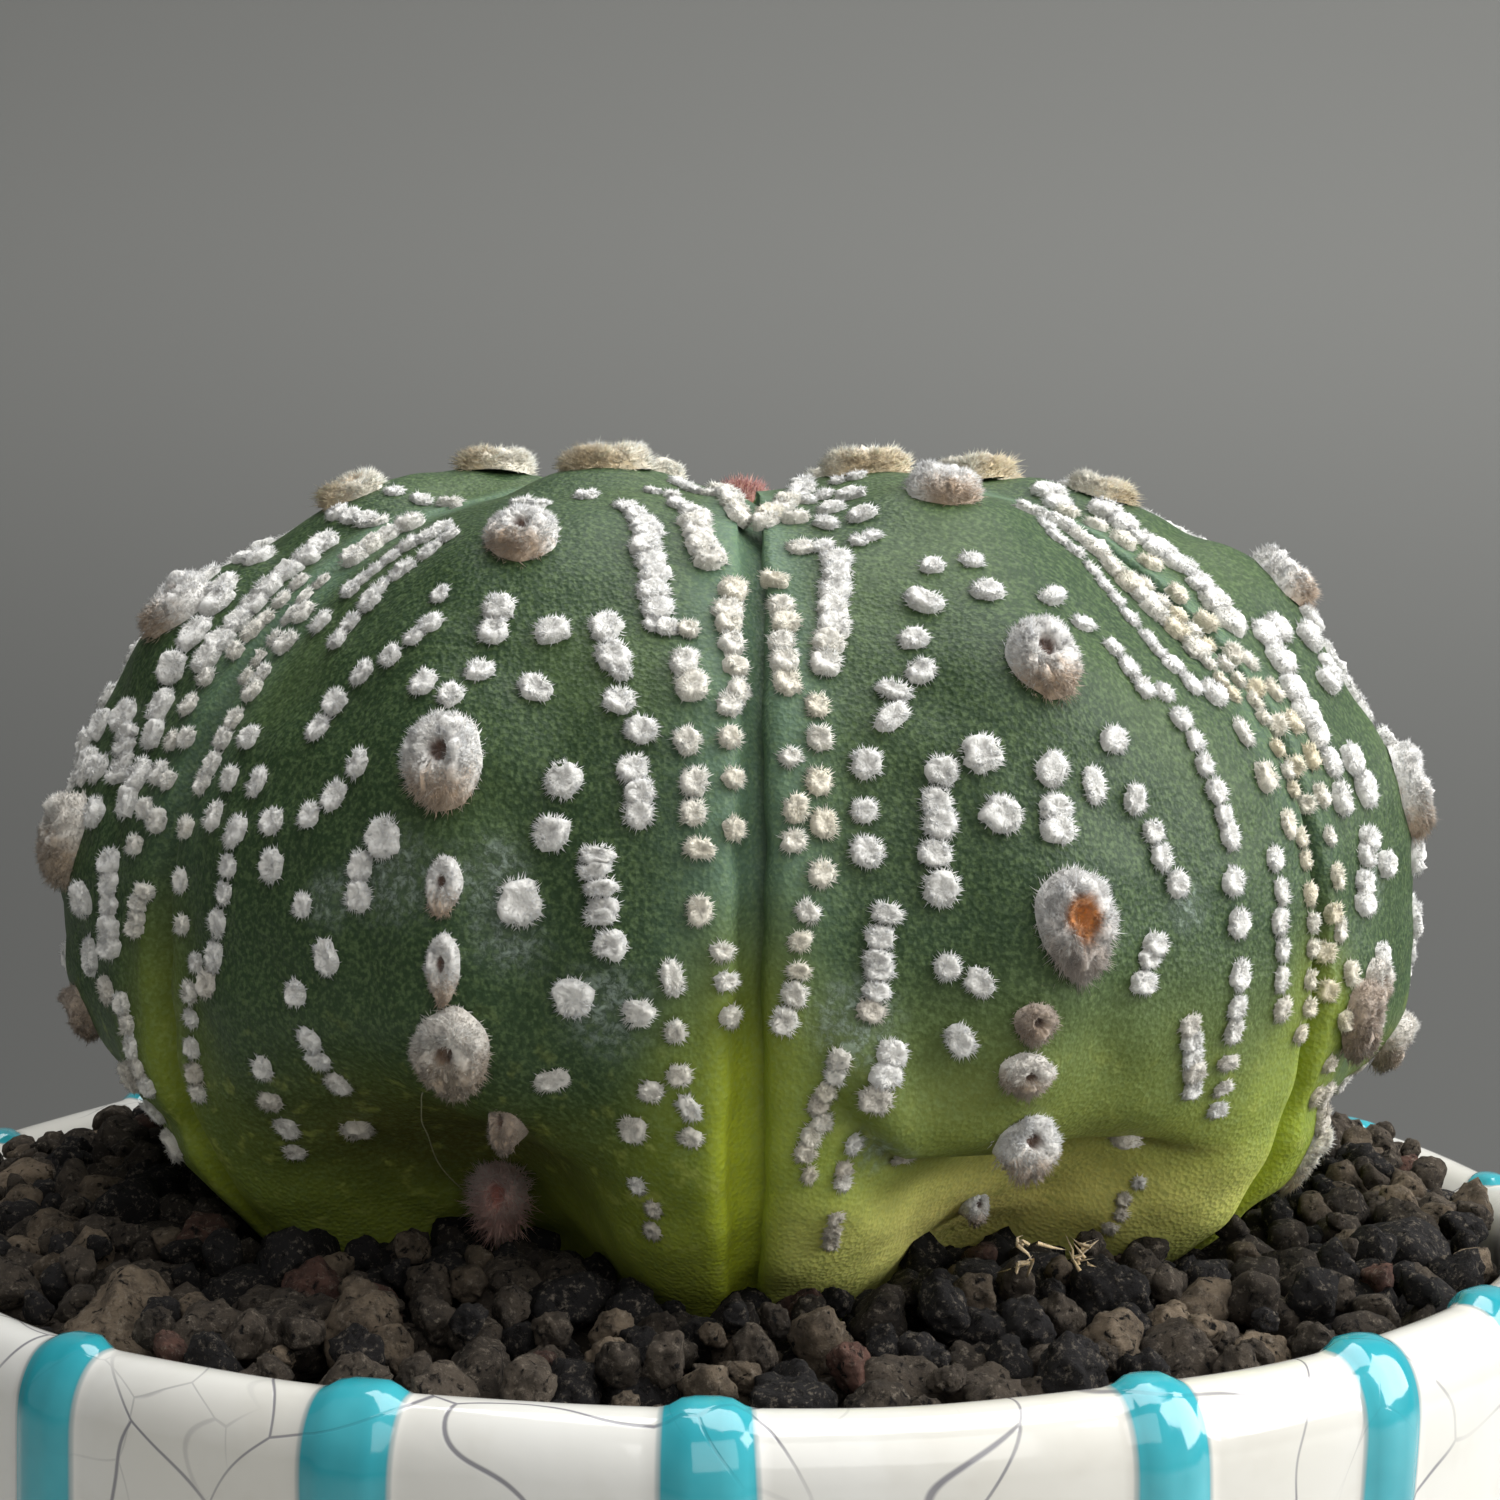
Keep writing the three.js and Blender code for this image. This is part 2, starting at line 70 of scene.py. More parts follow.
RIDGE = np.array([
    [0, 0, 35.2], [0.07, 5.5, 37.8], [0.16, 13, 40.7], [0.26, 21, 40], [0.36, 28.4, 36.6],
    [0.46, 34.4, 31], [0.56, 37.8, 23.6], [0.64, 38.5, 16.8], [0.72, 37.3, 10.4], [0.8, 34.2, 5.6],
    [0.87, 31, 2], [0.94, 26, -2.5], [1, 17, -7], [1.1, 9, -19], [1.2, 0, -38],
])
LIP = np.array([
    [0, 0, 35.2], [0.07, 5.5, 37.4], [0.16, 13, 40.1], [0.26, 21, 38.9], [0.36, 27.9, 35.2],
    [0.46, 33.6, 29.6], [0.56, 37, 22.6], [0.64, 37.7, 16.2], [0.72, 37, 10], [0.8, 35, 5.4],
    [0.87, 32.2, 2], [0.94, 26.5, -2.5], [1, 17, -7], [1.1, 9, -19], [1.2, 0, -38],
])
GROOVE = np.array([
    [0, 0, 35.2], [0.07, 5, 36.6], [0.16, 12, 39], [0.26, 19.8, 37.6], [0.36, 26.3, 34],
    [0.46, 31.6, 28.4], [0.56, 34.6, 21.8], [0.64, 35.2, 15.8], [0.72, 34.6, 10], [0.8, 33, 5.4],
    [0.87, 30.6, 2], [0.94, 25, -2.5], [1, 17, -7], [1.1, 9, -19], [1.2, 0, -38],
])
CROWN_Z = 35.2
ROOT_END = -38.0
SIDE_R = 34.0                   # usual radius of the plant's side, where flecks stand
BUD_R = 2.5                     # the bud of new wool in the middle of the crown
BUD_HEIGHT = 6.0
LEVEL_LENGTH = 80.0             # length of skin along one whole step of level
GROOVE_CUT = 1.3                # the groove's narrow bottom lies this much deeper

# Flecks on a rib: across (-1 and 1 are its grooves, 0 its ridge) and level of a row's two ends, count
ROWS_A = [
    [0.93, 0.36, 0.93, 0.54, 7], [0.93, 0.6, 0.93, 0.65, 3],
    [0.82, 0.43, 0.85, 0.6, 7], [0.8, 0.62, 0.84, 0.74, 5], [0.7, 0.75, 0.73, 0.79, 3],
    [0.48, 0.28, 0.72, 0.4, 8], [0.48, 0.23, 0.62, 0.25, 2], [0.74, 0.26, 0.85, 0.33, 4],
    [0.53, 0.42, 0.68, 0.48, 4], [0.35, 0.42, 0.35, 0.465, 2], [0.15, 0.43, 0.15, 0.47, 2],
    [-0.04, 0.43, -0.15, 0.45, 2], [-0.31, 0.46, -0.33, 0.5, 3], [-0.1, 0.52, -0.25, 0.545, 3],
    [0.48, 0.52, 0.45, 0.55, 2], [0.68, 0.5, 0.68, 0.54, 3], [0.57, 0.565, 0.62, 0.61, 4],
    [0.38, 0.595, 0.38, 0.595, 1], [0.53, 0.64, 0.53, 0.64, 1], [0.48, 0.685, 0.48, 0.685, 1],
    [0, 0.565, -0.08, 0.595, 2], [-0.27, 0.605, -0.17, 0.63, 2], [-0.42, 0.635, -0.42, 0.67, 2],
    [-0.3, 0.655, -0.38, 0.71, 4], [-0.5, 0.7, -0.58, 0.77, 4], [-0.35, 0.75, -0.35, 0.75, 1],
    [-0.43, 0.555, -0.42, 0.58, 2], [-0.6, 0.58, -0.68, 0.65, 5],
    [-0.4, 0.27, -0.48, 0.42, 8], [-0.62, 0.28, -0.66, 0.48, 9], [-0.8, 0.32, -0.84, 0.54, 9],
]
ROWS_B = [
    [-0.9, 0.36, -0.9, 0.44, 5], [-0.9, 0.495, -0.9, 0.55, 3], [-0.87, 0.59, -0.9, 0.635, 4],
    [-0.8, 0.46, -0.8, 0.57, 6], [-0.62, 0.335, -0.72, 0.435, 8], [-0.85, 0.24, -0.45, 0.26, 3],
    [-0.84, 0.29, -0.42, 0.32, 4], [-0.45, 0.42, -0.6, 0.475, 4], [-0.68, 0.505, -0.7, 0.555, 3],
    [-0.45, 0.51, -0.5, 0.555, 4], [-0.32, 0.5, -0.3, 0.54, 2], [-0.47, 0.58, -0.47, 0.58, 1],
    [-0.62, 0.59, -0.68, 0.645, 5], [-0.42, 0.625, -0.42, 0.66, 2], [-0.62, 0.68, -0.62, 0.69, 1],
    [-0.78, 0.665, -0.85, 0.73, 5], [-0.7, 0.725, -0.75, 0.79, 3],
    [-0.25, 0.365, -0.35, 0.395, 2], [-0.07, 0.37, -0.12, 0.4, 2], [0.1, 0.4, 0.23, 0.42, 2],
    [0.28, 0.44, 0.43, 0.47, 3], [0.12, 0.505, 0.12, 0.505, 1], [-0.12, 0.515, -0.15, 0.545, 2],
    [0.03, 0.535, 0.12, 0.54, 2], [0.18, 0.56, 0.25, 0.59, 3], [0.4, 0.485, 0.5, 0.55, 6],
    [0.15, 0.63, 0.15, 0.63, 1], [0.51, 0.585, 0.6, 0.725, 7], [0.33, 0.665, 0.43, 0.715, 4],
    [0.4, 0.75, 0.48, 0.79, 2], [0.7, 0.465, 0.75, 0.63, 7],
    [0.3, 0.26, 0.42, 0.44, 9], [0.55, 0.28, 0.62, 0.47, 9], [0.78, 0.33, 0.84, 0.5, 8],
]
# The two front ribs, fleck by fleck. Rows: across and level of the two ends, count, width.
# Single flecks: across, level, width, length.
LEFT_ROWS = [
    [0.92, 0.372, 0.92, 0.392, 2, 1.5], [0.925, 0.402, 0.925, 0.435, 3, 1.3],
    [0.93, 0.45, 0.925, 0.464, 2, 1.2], [0.795, 0.437, 0.795, 0.453, 2, 1.5],
    [0.675, 0.508, 0.69, 0.535, 3, 1.4], [0.49, 0.415, 0.56, 0.434, 2, 1.7],
    [0.14, 0.415, 0.15, 0.43, 2, 1.6], [-0.06, 0.43, -0.17, 0.45, 3, 1.1],
    [0.15, 0.457, 0.1, 0.478, 2, 1.3], [-0.36, 0.48, -0.39, 0.497, 2, 1.4],
    [-0.16, 0.522, -0.23, 0.54, 2, 1.3], [-0.09, 0.58, -0.1, 0.597, 2, 1.4],
    [-0.42, 0.325, -0.62, 0.375, 6, 1.1], [-0.27, 0.345, -0.43, 0.39, 6, 1.1],
    [-0.45, 0.4, -0.5, 0.43, 3, 1.2], [-0.63, 0.385, -0.68, 0.41, 2, 1.2],
    [-0.85, 0.3, -0.9, 0.345, 4, 1.7], [0.42, 0.295, 0.52, 0.312, 3, 1.1],
    [0.53, 0.318, 0.67, 0.395, 7, 1.6], [0.66, 0.407, 0.77, 0.41, 3, 1.1],
    [0.66, 0.275, 0.75, 0.29, 3, 1.2], [0.74, 0.305, 0.84, 0.345, 4, 1.7],
    [0.45, 0.25, 0.56, 0.256, 2, 0.8], [0.55, 0.213, 0.74, 0.225, 4, 1.0],
    [0.82, 0.2, 0.95, 0.28, 6, 1.3], [0.58, 0.562, 0.605, 0.595, 5, 1.6],
    [0.69, 0.765, 0.72, 0.81, 3, 0.75], [-0.28, 0.677, -0.27, 0.707, 3, 1.3],
    [-0.94, 0.37, -0.94, 0.45, 6, 1.0], [-0.84, 0.4, -0.85, 0.425, 2, 1.2],
    [-0.83, 0.45, -0.86, 0.53, 6, 1.1], [-0.7, 0.5, -0.74, 0.55, 3, 1.2],
    [-0.55, 0.53, -0.6, 0.56, 2, 1.3], [-0.6, 0.58, -0.68, 0.65, 5, 1.2],
    [-0.43, 0.555, -0.42, 0.58, 2, 1.4], [-0.86, 0.56, -0.86, 0.62, 3, 1.0],
    [-0.5, 0.7, -0.58, 0.77, 4, 1.1], [-0.78, 0.64, -0.84, 0.73, 6, 1.0],
]
LEFT_FLECKS = [
    [0.93, 0.485, 1.1, 1.1], [0.94, 0.51, 1.0, 1.0], [0.945, 0.54, 1.1, 1.1], [0.855, 0.553, 1.4, 1.0],
    [0.86, 0.588, 1.15, 1.4], [0.92, 0.61, 1.1, 0.85], [0.925, 0.626, 1.1, 0.8], [0.94, 0.646, 1.1, 1.0],
    [0.81, 0.489, 1.25, 1.4], [0.836, 0.514, 1.3, 1.5], [0.835, 0.532, 1.15, 1.3],
    [0.585, 0.446, 1.4, 0.9], [0.6, 0.467, 1.6, 1.4], [0.675, 0.484, 1.6, 1.3], [0.345, 0.423, 1.8, 1.5],
    [-0.1, 0.405, 0.95, 1.0], [-0.005, 0.472, 1.3, 1.5], [0.34, 0.465, 1.8, 1.3], [-0.28, 0.46, 1.4, 1.1],
    [-0.3, 0.552, 1.2, 1.3], [-0.02, 0.565, 2.0, 2.1], [0.17, 0.28, 1.2, 1.0], [-0.1, 0.3, 1.2, 1.0],
    [0.03, 0.31, 1.0, 1.0], [0.47, 0.52, 1.8, 1.8], [0.453, 0.551, 1.8, 1.7], [0.63, 0.609, 1.6, 1.4],
    [0.38, 0.592, 2.1, 2.4], [0.53, 0.64, 1.9, 1.9], [0.46, 0.69, 1.7, 1.0], [0.705, 0.645, 1.5, 1.3],
    [0.79, 0.625, 1.0, 1.8], [0.8, 0.655, 0.95, 1.1], [0.81, 0.68, 1.1, 1.0], [0.735, 0.69, 1.1, 1.0],
    [0.835, 0.7, 0.9, 1.4], [0.68, 0.717, 1.3, 1.4], [0.84, 0.72, 1.1, 0.85], [-0.28, 0.603, 1.1, 1.15],
    [-0.18, 0.63, 1.35, 1.8], [-0.3, 0.652, 1.2, 1.3], [-0.33, 0.748, 1.7, 1.2],
]
RIGHT_ROWS = [
    [-0.9, 0.385, -0.905, 0.447, 5, 1.4], [-0.89, 0.529, -0.895, 0.546, 2, 1.2],
    [-0.89, 0.633, -0.895, 0.645, 2, 1.2], [-0.65, 0.345, -0.75, 0.433, 7, 1.6],
    [0.265, 0.438, 0.32, 0.465, 3, 1.1], [0.42, 0.487, 0.5, 0.557, 6, 1.2],
    [-0.455, 0.513, -0.49, 0.558, 4, 1.6], [-0.135, 0.543, -0.14, 0.556, 2, 1.8],
    [0.2, 0.555, 0.27, 0.587, 3, 1.1], [-0.46, 0.62, -0.4, 0.634, 2, 1.2],
    [-0.63, 0.593, -0.675, 0.642, 6, 1.4], [-0.625, 0.668, -0.665, 0.692, 3, 1.6],
    [-0.77, 0.668, -0.84, 0.728, 7, 1.0], [-0.72, 0.748, -0.725, 0.757, 2, 0.85],
    [-0.74, 0.79, -0.75, 0.815, 3, 0.7], [0.165, 0.618, 0.14, 0.64, 3, 1.5],
    [0.515, 0.658, 0.52, 0.671, 2, 1.15], [0.34, 0.668, 0.42, 0.708, 5, 1.2],
    [0.5, 0.8, 0.5, 0.85, 4, 0.65], [-0.6, 0.205, -0.93, 0.285, 7, 1.4],
    [-0.42, 0.222, -0.28, 0.225, 2, 0.8], [-0.66, 0.245, -0.55, 0.24, 2, 0.9],
    [-0.78, 0.325, -0.7, 0.325, 2, 1.1], [-0.53, 0.328, -0.46, 0.324, 2, 0.85],
    [0.5, 0.31, 0.54, 0.43, 9, 1.0], [0.56, 0.44, 0.58, 0.46, 2, 1.4], [0.7, 0.27, 0.8, 0.42, 11, 1.7],
    [0.76, 0.4, 0.82, 0.46, 6, 0.8], [0.9, 0.36, 0.92, 0.48, 9, 0.9], [0.9, 0.5, 0.91, 0.53, 3, 0.8],
    [0.7, 0.57, 0.73, 0.66, 6, 1.1], [0.88, 0.56, 0.89, 0.68, 8, 0.9],
]
RIGHT_FLECKS = [
    [-0.91, 0.36, 1.5, 0.8], [-0.89, 0.497, 1.05, 0.9], [-0.85, 0.588, 0.9, 1.2], [-0.87, 0.604, 1.05, 0.95],
    [-0.875, 0.62, 1.1, 0.75], [-0.8, 0.463, 1.1, 1.25], [-0.8, 0.485, 1.2, 1.3], [-0.81, 0.512, 1.2, 1.4],
    [-0.8, 0.537, 1.25, 1.45], [-0.81, 0.567, 1.25, 1.3], [-0.665, 0.502, 1.5, 1.5],
    [-0.68, 0.53, 1.2, 1.2], [-0.68, 0.555, 1.6, 1.5], [-0.555, 0.457, 1.8, 0.9], [-0.575, 0.475, 2.0, 1.1],
    [-0.455, 0.423, 1.5, 1.2], [-0.46, 0.447, 1.5, 1.25], [-0.38, 0.395, 2.0, 1.2], [-0.3, 0.367, 1.2, 0.9],
    [-0.13, 0.365, 1.2, 1.1], [-0.14, 0.395, 1.65, 1.6], [0.11, 0.4, 1.7, 0.95], [0.195, 0.42, 1.5, 0.9],
    [0.4, 0.468, 1.1, 1.0], [0.11, 0.503, 1.6, 1.35], [-0.33, 0.507, 1.9, 1.9], [-0.295, 0.543, 2.0, 1.8],
    [-0.125, 0.52, 1.6, 1.8], [0.01, 0.53, 1.2, 1.9], [0.15, 0.538, 1.2, 1.5], [-0.48, 0.58, 1.75, 1.8],
    [-0.43, 0.663, 1.3, 1.7], [-0.83, 0.747, 0.6, 0.9], [-0.7, 0.728, 0.8, 1.0], [-0.52, 0.748, 1.1, 0.6],
    [0.48, 0.585, 1.25, 1.5], [0.5, 0.608, 1.35, 1.5], [0.51, 0.638, 1.25, 1.6], [0.525, 0.692, 1.2, 0.75],
    [0.545, 0.71, 1.05, 0.75], [0.565, 0.727, 1.1, 0.9], [0.33, 0.752, 1.5, 1.4], [-0.42, 0.255, 1.7, 1.0],
    [-0.77, 0.283, 1.4, 1.0], [-0.57, 0.272, 1.4, 0.9], [-0.64, 0.297, 1.5, 0.9], [-0.46, 0.297, 1.6, 1.0],
    [0.68, 0.462, 1.6, 1.6], [0.73, 0.49, 1.1, 1.6], [0.75, 0.52, 1.5, 1.6], [0.82, 0.55, 1.1, 1.5],
]
# Areoles of a rib: across, level, half the width, length over width, colouring
AREOLES_A = [
    [-0.07, 0.2, 2.5, 0.9, "cream"], [0.1, 0.355, 1.95, 1.0, "white"], [0.13, 0.52, 2.05, 1.14, "white"],
    [0.175, 0.588, 0.9, 1.6, "white"], [0.19, 0.63, 0.85, 1.9, "white"], [0.2, 0.675, 1.85, 1.28, "tan"],
    [0.3, 0.722, 0.85, 1.75, "brown"], [-0.05, 0.822, 1.45, 1.3, "mauve"],
]
AREOLES_B = [
    [-0.07, 0.195, 2.5, 0.9, "cream"], [0.0, 0.285, 2.0, 1.0, "white"],
    [-0.08, 0.455, 1.95, 1.1, "white"], [-0.12, 0.605, 1.95, 1.38, "orange"],
    [-0.235, 0.655, 1.1, 0.85, "brown"], [-0.25, 0.68, 1.3, 0.8, "tan"],
    [-0.19, 0.724, 1.7, 1.08, "white"], [-0.05, 0.82, 0.72, 1.5, "white"],
]
AREOLES_LEFT = [
    [-0.07, 0.18, 2.5, 0.9, "cream"], [0.15, 0.285, 1.95, 1.0, "cream"], [0.23, 0.425, 2.1, 1.1, "white"],
    [0.25, 0.59, 2.1, 1.2, "tan"], [0.2, 0.7, 1.4, 1.2, "brown"],
]
AREOLES_RIGHT = [
    [-0.05, 0.17, 2.5, 0.9, "cream"], [-0.02, 0.26, 1.95, 1.0, "cream"], [0.05, 0.395, 2.1, 1.0, "white"],
    [0.07, 0.555, 2.1, 1.25, "white"], [-0.72, 0.68, 1.6, 1.3, "brown"], [-0.6, 0.66, 1.2, 1.2, "tan"],
    [0.1, 0.72, 1.5, 1.2, "tan"], [-0.68, 0.8, 1.1, 2.0, "cream"],
]
SOIL_AT_RIM = -1.2
SOIL_AT_PLANT = 1.2
SOIL_DIP = 1.3                  # the grit lies this much lower where the rim sags at the left
STONE_SHAPES = 16
FACES_PER_PIECE = 180000
TAN_GRAIN, RUST_GRAIN, BLACK_GRAIN, GREY_GRAIN = (126, 111, 93), (104, 76, 66), (42, 40, 40), (84, 75, 65)


# Numbers and noise
def smooth(x, low, high):
    t = np.clip((x - low) / (high - low), 0, 1)
    return t * t * (3 - 2 * t)


def bell(x, width):
    return np.exp(-(x / width) ** 2)


def unit(vectors):
    return vectors / np.maximum(np.linalg.norm(vectors, axis=-1, keepdims=True), 1e-9)


def tint(red, green, blue):
    """A colour as it looks on a screen (0-255), turned into linear light."""
    srgb = np.array([red, green, blue]) / 255
    return np.where(srgb <= 0.04045, srgb / 12.92, ((srgb + 0.055) / 1.055) ** 2.4)


def waves(points, size, seed, count=9):
    """Soft noise between about -1 and 1 with bumps of about this size."""
    rng = np.random.default_rng(seed)
    ways = unit(rng.normal(size=(count, 3))) * (2 * math.pi / size) * rng.uniform(0.6, 1.7, (count, 1))
    phases = rng.uniform(0, 2 * math.pi, count)
    return np.sin(points @ ways.T + phases).sum(-1) / math.sqrt(count)


# Meshes
def grid_faces(rows, columns, wrap):
    """Quads between the points of a grid, closed round its columns where wrap is true."""
    last = columns if wrap else columns - 1
    i, j = np.meshgrid(np.arange(rows - 1), np.arange(last), indexing="ij")
    k = (j + 1) % columns
    quads = np.stack([i * columns + j, (i + 1) * columns + j, (i + 1) * columns + k, i * columns + k], -1)
    return quads.reshape(-1, 4)


def as_triangles(quads):
    return np.concatenate([quads[:, [0, 1, 2]], quads[:, [0, 2, 3]]])


def make_piece(name, points, faces, material, node, colors=None, values=None):
    mesh = bpy.data.meshes.new(name)
    sides = faces.shape[1]
    mesh.vertices.add(len(points))
    mesh.vertices.foreach_set("co", (np.asarray(points) * MM).astype(np.float32).ravel())
    mesh.loops.add(faces.size)
    mesh.loops.foreach_set("vertex_index", faces.astype(np.int32).ravel())
    mesh.polygons.add(len(faces))
    mesh.polygons.foreach_set("loop_start", np.arange(0, faces.size, sides, dtype=np.int32))
    mesh.polygons.foreach_set("use_smooth", np.ones(len(faces), dtype=bool))
    mesh.update(calc_edges=True)
    mesh.validate()
    if colors is not None:
        rgba = np.concatenate([colors, np.ones((len(colors), 1))], 1).astype(np.float32)
        mesh.attributes.new("tint", "FLOAT_COLOR", "POINT").data.foreach_set("color", rgba.ravel())
    for key, value in (values or {}).items():
        data = np.asarray(value, dtype=np.float32)
        mesh.attributes.new(key, "FLOAT", "POINT").data.foreach_set("value", data)
    mesh.materials.append(material)
    piece = bpy.data.objects.new(name, mesh)
    bpy.context.scene.collection.objects.link(piece)
    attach(piece, "root")
    if node:
        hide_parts(node)


class Batch:
    """Points, triangles and colours gathered from many small shapes."""

    def __init__(self):
        self.points, self.faces, self.colors, self.total = [], [], [], 0

    def add(self, points, faces, colors):
        self.points.append(points)
        self.faces.append(faces + self.total)
        self.colors.append(colors)
        self.total += len(points)

    def make(self, name, material, node, slot):
        points, faces, colors = map(np.concatenate, (self.points, self.faces, self.colors))
        make_piece(name, points, faces, material, node, colors)


# Materials
class Shader:
    """A node material under construction."""

    def __init__(self, name, roughness, **fixed):
        self.material = bpy.data.materials.new(name)
        self.material.use_nodes = True
        self.tree = self.material.node_tree
        self.surface = self.tree.nodes["Principled BSDF"]
        self.surface.inputs["Roughness"].default_value = roughness
        for key, value in fixed.items():
            self.surface.inputs[key.replace("_", " ")].default_value = value
        self.place = self.add("ShaderNodeTexCoord").outputs["Object"]

    def add(self, kind, inputs=None, **settings):
        node = self.tree.nodes.new(kind)
        for key, value in settings.items():
            setattr(node, key, value)
        for key, value in (inputs or {}).items():
            if isinstance(value, bpy.types.NodeSocket):
                self.tree.links.new(value, node.inputs[key])
            else:
                node.inputs[key].default_value = value
        return node

    def attribute(self, name):
        return self.add("ShaderNodeAttribute", attribute_name=name)

    def noise(self, scale, detail=2.0, rough=0.5, vector=None, warp=0.0):
        inputs = {"Vector": vector or self.place, "Scale": scale, "Detail": detail,
                  "Roughness": rough, "Distortion": warp}
        return self.add("ShaderNodeTexNoise", inputs).outputs["Fac"]

    def cells(self, scale, feature="F1", vector=None):
        inputs = {"Vector": vector or self.place, "Scale": scale}
        return self.add("ShaderNodeTexVoronoi", inputs, feature=feature).outputs["Distance"]

    def ramp(self, value, low, high, start=0.0, end=1.0):
        inputs = {"Value": value, "From Min": low, "From Max": high, "To Min": start, "To Max": end}
        return self.add("ShaderNodeMapRange", inputs, interpolation_type="SMOOTHSTEP").outputs[0]

    def math(self, operation, a, b=0.0):
        return self.add("ShaderNodeMath", {0: a, 1: b}, operation=operation).outputs[0]

    def mix(self, share, a, b, blend="MIX"):
        inputs = {0: share, 6: self.color(a), 7: self.color(b)}
        return self.add("ShaderNodeMix", inputs, data_type="RGBA", blend_type=blend).outputs[2]

    def color(self, value):
        return value if isinstance(value, bpy.types.NodeSocket) else (*map(float, value), 1.0)

    def bump(self, height, depth_mm, below=None):
        inputs = {"Height": height, "Distance": depth_mm * MM, "Strength": 1.0}
        if below is not None:
            inputs["Normal"] = below
        return self.add("ShaderNodeBump", inputs).outputs["Normal"]

    def finish(self, color, normal=None):
        for key, value in (("Base Color", color), ("Normal", normal)):
            if value is not None:
                self.tree.links.new(value, self.surface.inputs[key])
        return self.material


# The plant's body
def along(rows, level):
    """Radius and height at each level, on a smooth curve through a section's points."""
    count = len(rows)
    lower = np.maximum(np.arange(count) - 1, 0)
    upper = np.minimum(np.arange(count) + 1, count - 1)
    slopes = (rows[upper, 1:] - rows[lower, 1:]) / (rows[upper, 0] - rows[lower, 0])[:, None]
    i = np.clip(np.searchsorted(rows[:, 0], level, side="left") - 1, 0, count - 2)
    span = rows[i + 1, 0] - rows[i, 0]
    t = ((level - rows[i, 0]) / span)[..., None]
    span = span[..., None]
    return (
        (2 * t ** 3 - 3 * t ** 2 + 1) * rows[i, 1:] + (t ** 3 - 2 * t ** 2 + t) * slopes[i] * span
        + (3 * t ** 2 - 2 * t ** 3) * rows[i + 1, 1:] + (t ** 3 - t ** 2) * slopes[i + 1] * span
    )


def plain_skin(rib, across, level):
    """The ribbed form without its relief."""
    side = np.abs(across)
    to_lip = np.where(side < LIP_AT, (1 - np.cos(np.pi * np.minimum(side / LIP_AT, 1))) / 2, 1.0)
    narrow = 3.8 - 1.9 * smooth(level, 0.42, 0.7)
    to_groove = np.maximum(0, (side - LIP_AT) / (1 - LIP_AT)) ** narrow
    ridge, lip, groove = along(RIDGE, level), along(LIP, level), along(GROOVE, level)
    pulled_in = smooth(level, 0.66, 0.82) * (1 - smooth(level, 0.9, 1))
    ridge[..., 0] -= TUCK_DEPTH * TUCK[rib] * pulled_in
    blend = ridge + (lip - ridge) * to_lip[..., None]
    blend = blend + (groove - blend) * to_groove[..., None]
    angle = np.radians(GROOVES[rib] + (GROOVES[rib + 1] - GROOVES[rib]) * (across + 1) / 2)
    radius = blend[..., 0]
    return np.stack([
        AXIS_X + radius * np.sin(angle), -radius * np.cos(angle), blend[..., 1] + RIM_EDGE,
    ], -1)


def mirror_of(rib):
    """Whether a rib out of sight takes its flecks and areoles as listed (1) or mirrored (-1)."""
    return -1 if rib < 3 or rib == 5 else 1


def areoles_of(rib):
    if rib == 2:
        return AREOLES_LEFT
    if rib == 5:
        return AREOLES_RIGHT
    listed = AREOLES_A if rib % 2 else AREOLES_B
    return [[across * mirror_of(rib), *rest] for across, *rest in listed]


def crease_distance(across, level):
    """How far below the crease of the front right rib a place lies, in level."""
    return level - (0.757 + 0.012 * across - 0.05 * smooth(-across, 0.52, 0.78))


def swell(rib, across, level, points):
    """Relief of the skin over the plain form: seats of the areoles, folds, dents and unevenness."""
    out = 0.22 * waves(points, 15, 3) + 0.07 * waves(points, 5, 4)
    half = np.radians(GROOVES[rib + 1] - GROOVES[rib]) / 2
    radius = np.hypot(points[..., 0] - AXIS_X, points[..., 1])
    for number in range(8):
        here = rib == number
        for place, height, size, _, _ in areoles_of(number):
            away = np.hypot((across - place) * half * radius, (level - height) * LEVEL_LENGTH)
            out = out + here * (0.4 * bell(away, size + 2.2) - 0.16 * bell(away - size - 3.4, 1.3))
    out = out * (1 - smooth(level, 0.92, 1))
    deep = smooth(np.abs(across), 0.95, 1.0) * smooth(level, 0.05, 0.25) * (1 - smooth(level, 0.88, 0.98))
    out = out - GROOVE_CUT * deep ** 2
    # The crease with a swelling over it on the front right rib
    fold = crease_distance(across, level)
    width = smooth(across, -0.86, -0.66) * (1 - smooth(across, 0.3, 0.62)) * (rib == 4)
    over = 0.7 * bell(fold + 0.034, 0.028) - 0.9 * bell(fold, 0.008)
    under = -0.6 * smooth(fold, 0.0, 0.012) * (1 - smooth(fold, 0.03, 0.08))
    out = out + width * (over + under)
    out = out + (rib == 4) * 0.9 * bell((across + 0.02) / 0.3, 1) * bell(level - 0.795, 0.022)
    # The hollow on the front left rib
    hollow = bell((across - 0.16) / 0.34, 1) * bell(level - 0.765, 0.045) * (rib == 3)
    out = out - 0.4 * hollow
    # Shallow wrinkles round the foot of the other ribs
    others = (rib != 3) & (rib != 4)
    return out + others * 0.35 * bell(level - 0.77, 0.02) * np.sin(across * 3 + rib)


def skin(rib, across, level):
    step = 0.004
    points = plain_skin(rib, across, level)
    sideways = plain_skin(rib, across + step, level) - plain_skin(rib, across - step, level)
    lengthwise = plain_skin(rib, across, level + step) - plain_skin(rib, across, level - step)
    outward = unit(np.cross(lengthwise, sideways))
    return points + outward * swell(rib, across, level, points)[..., None]


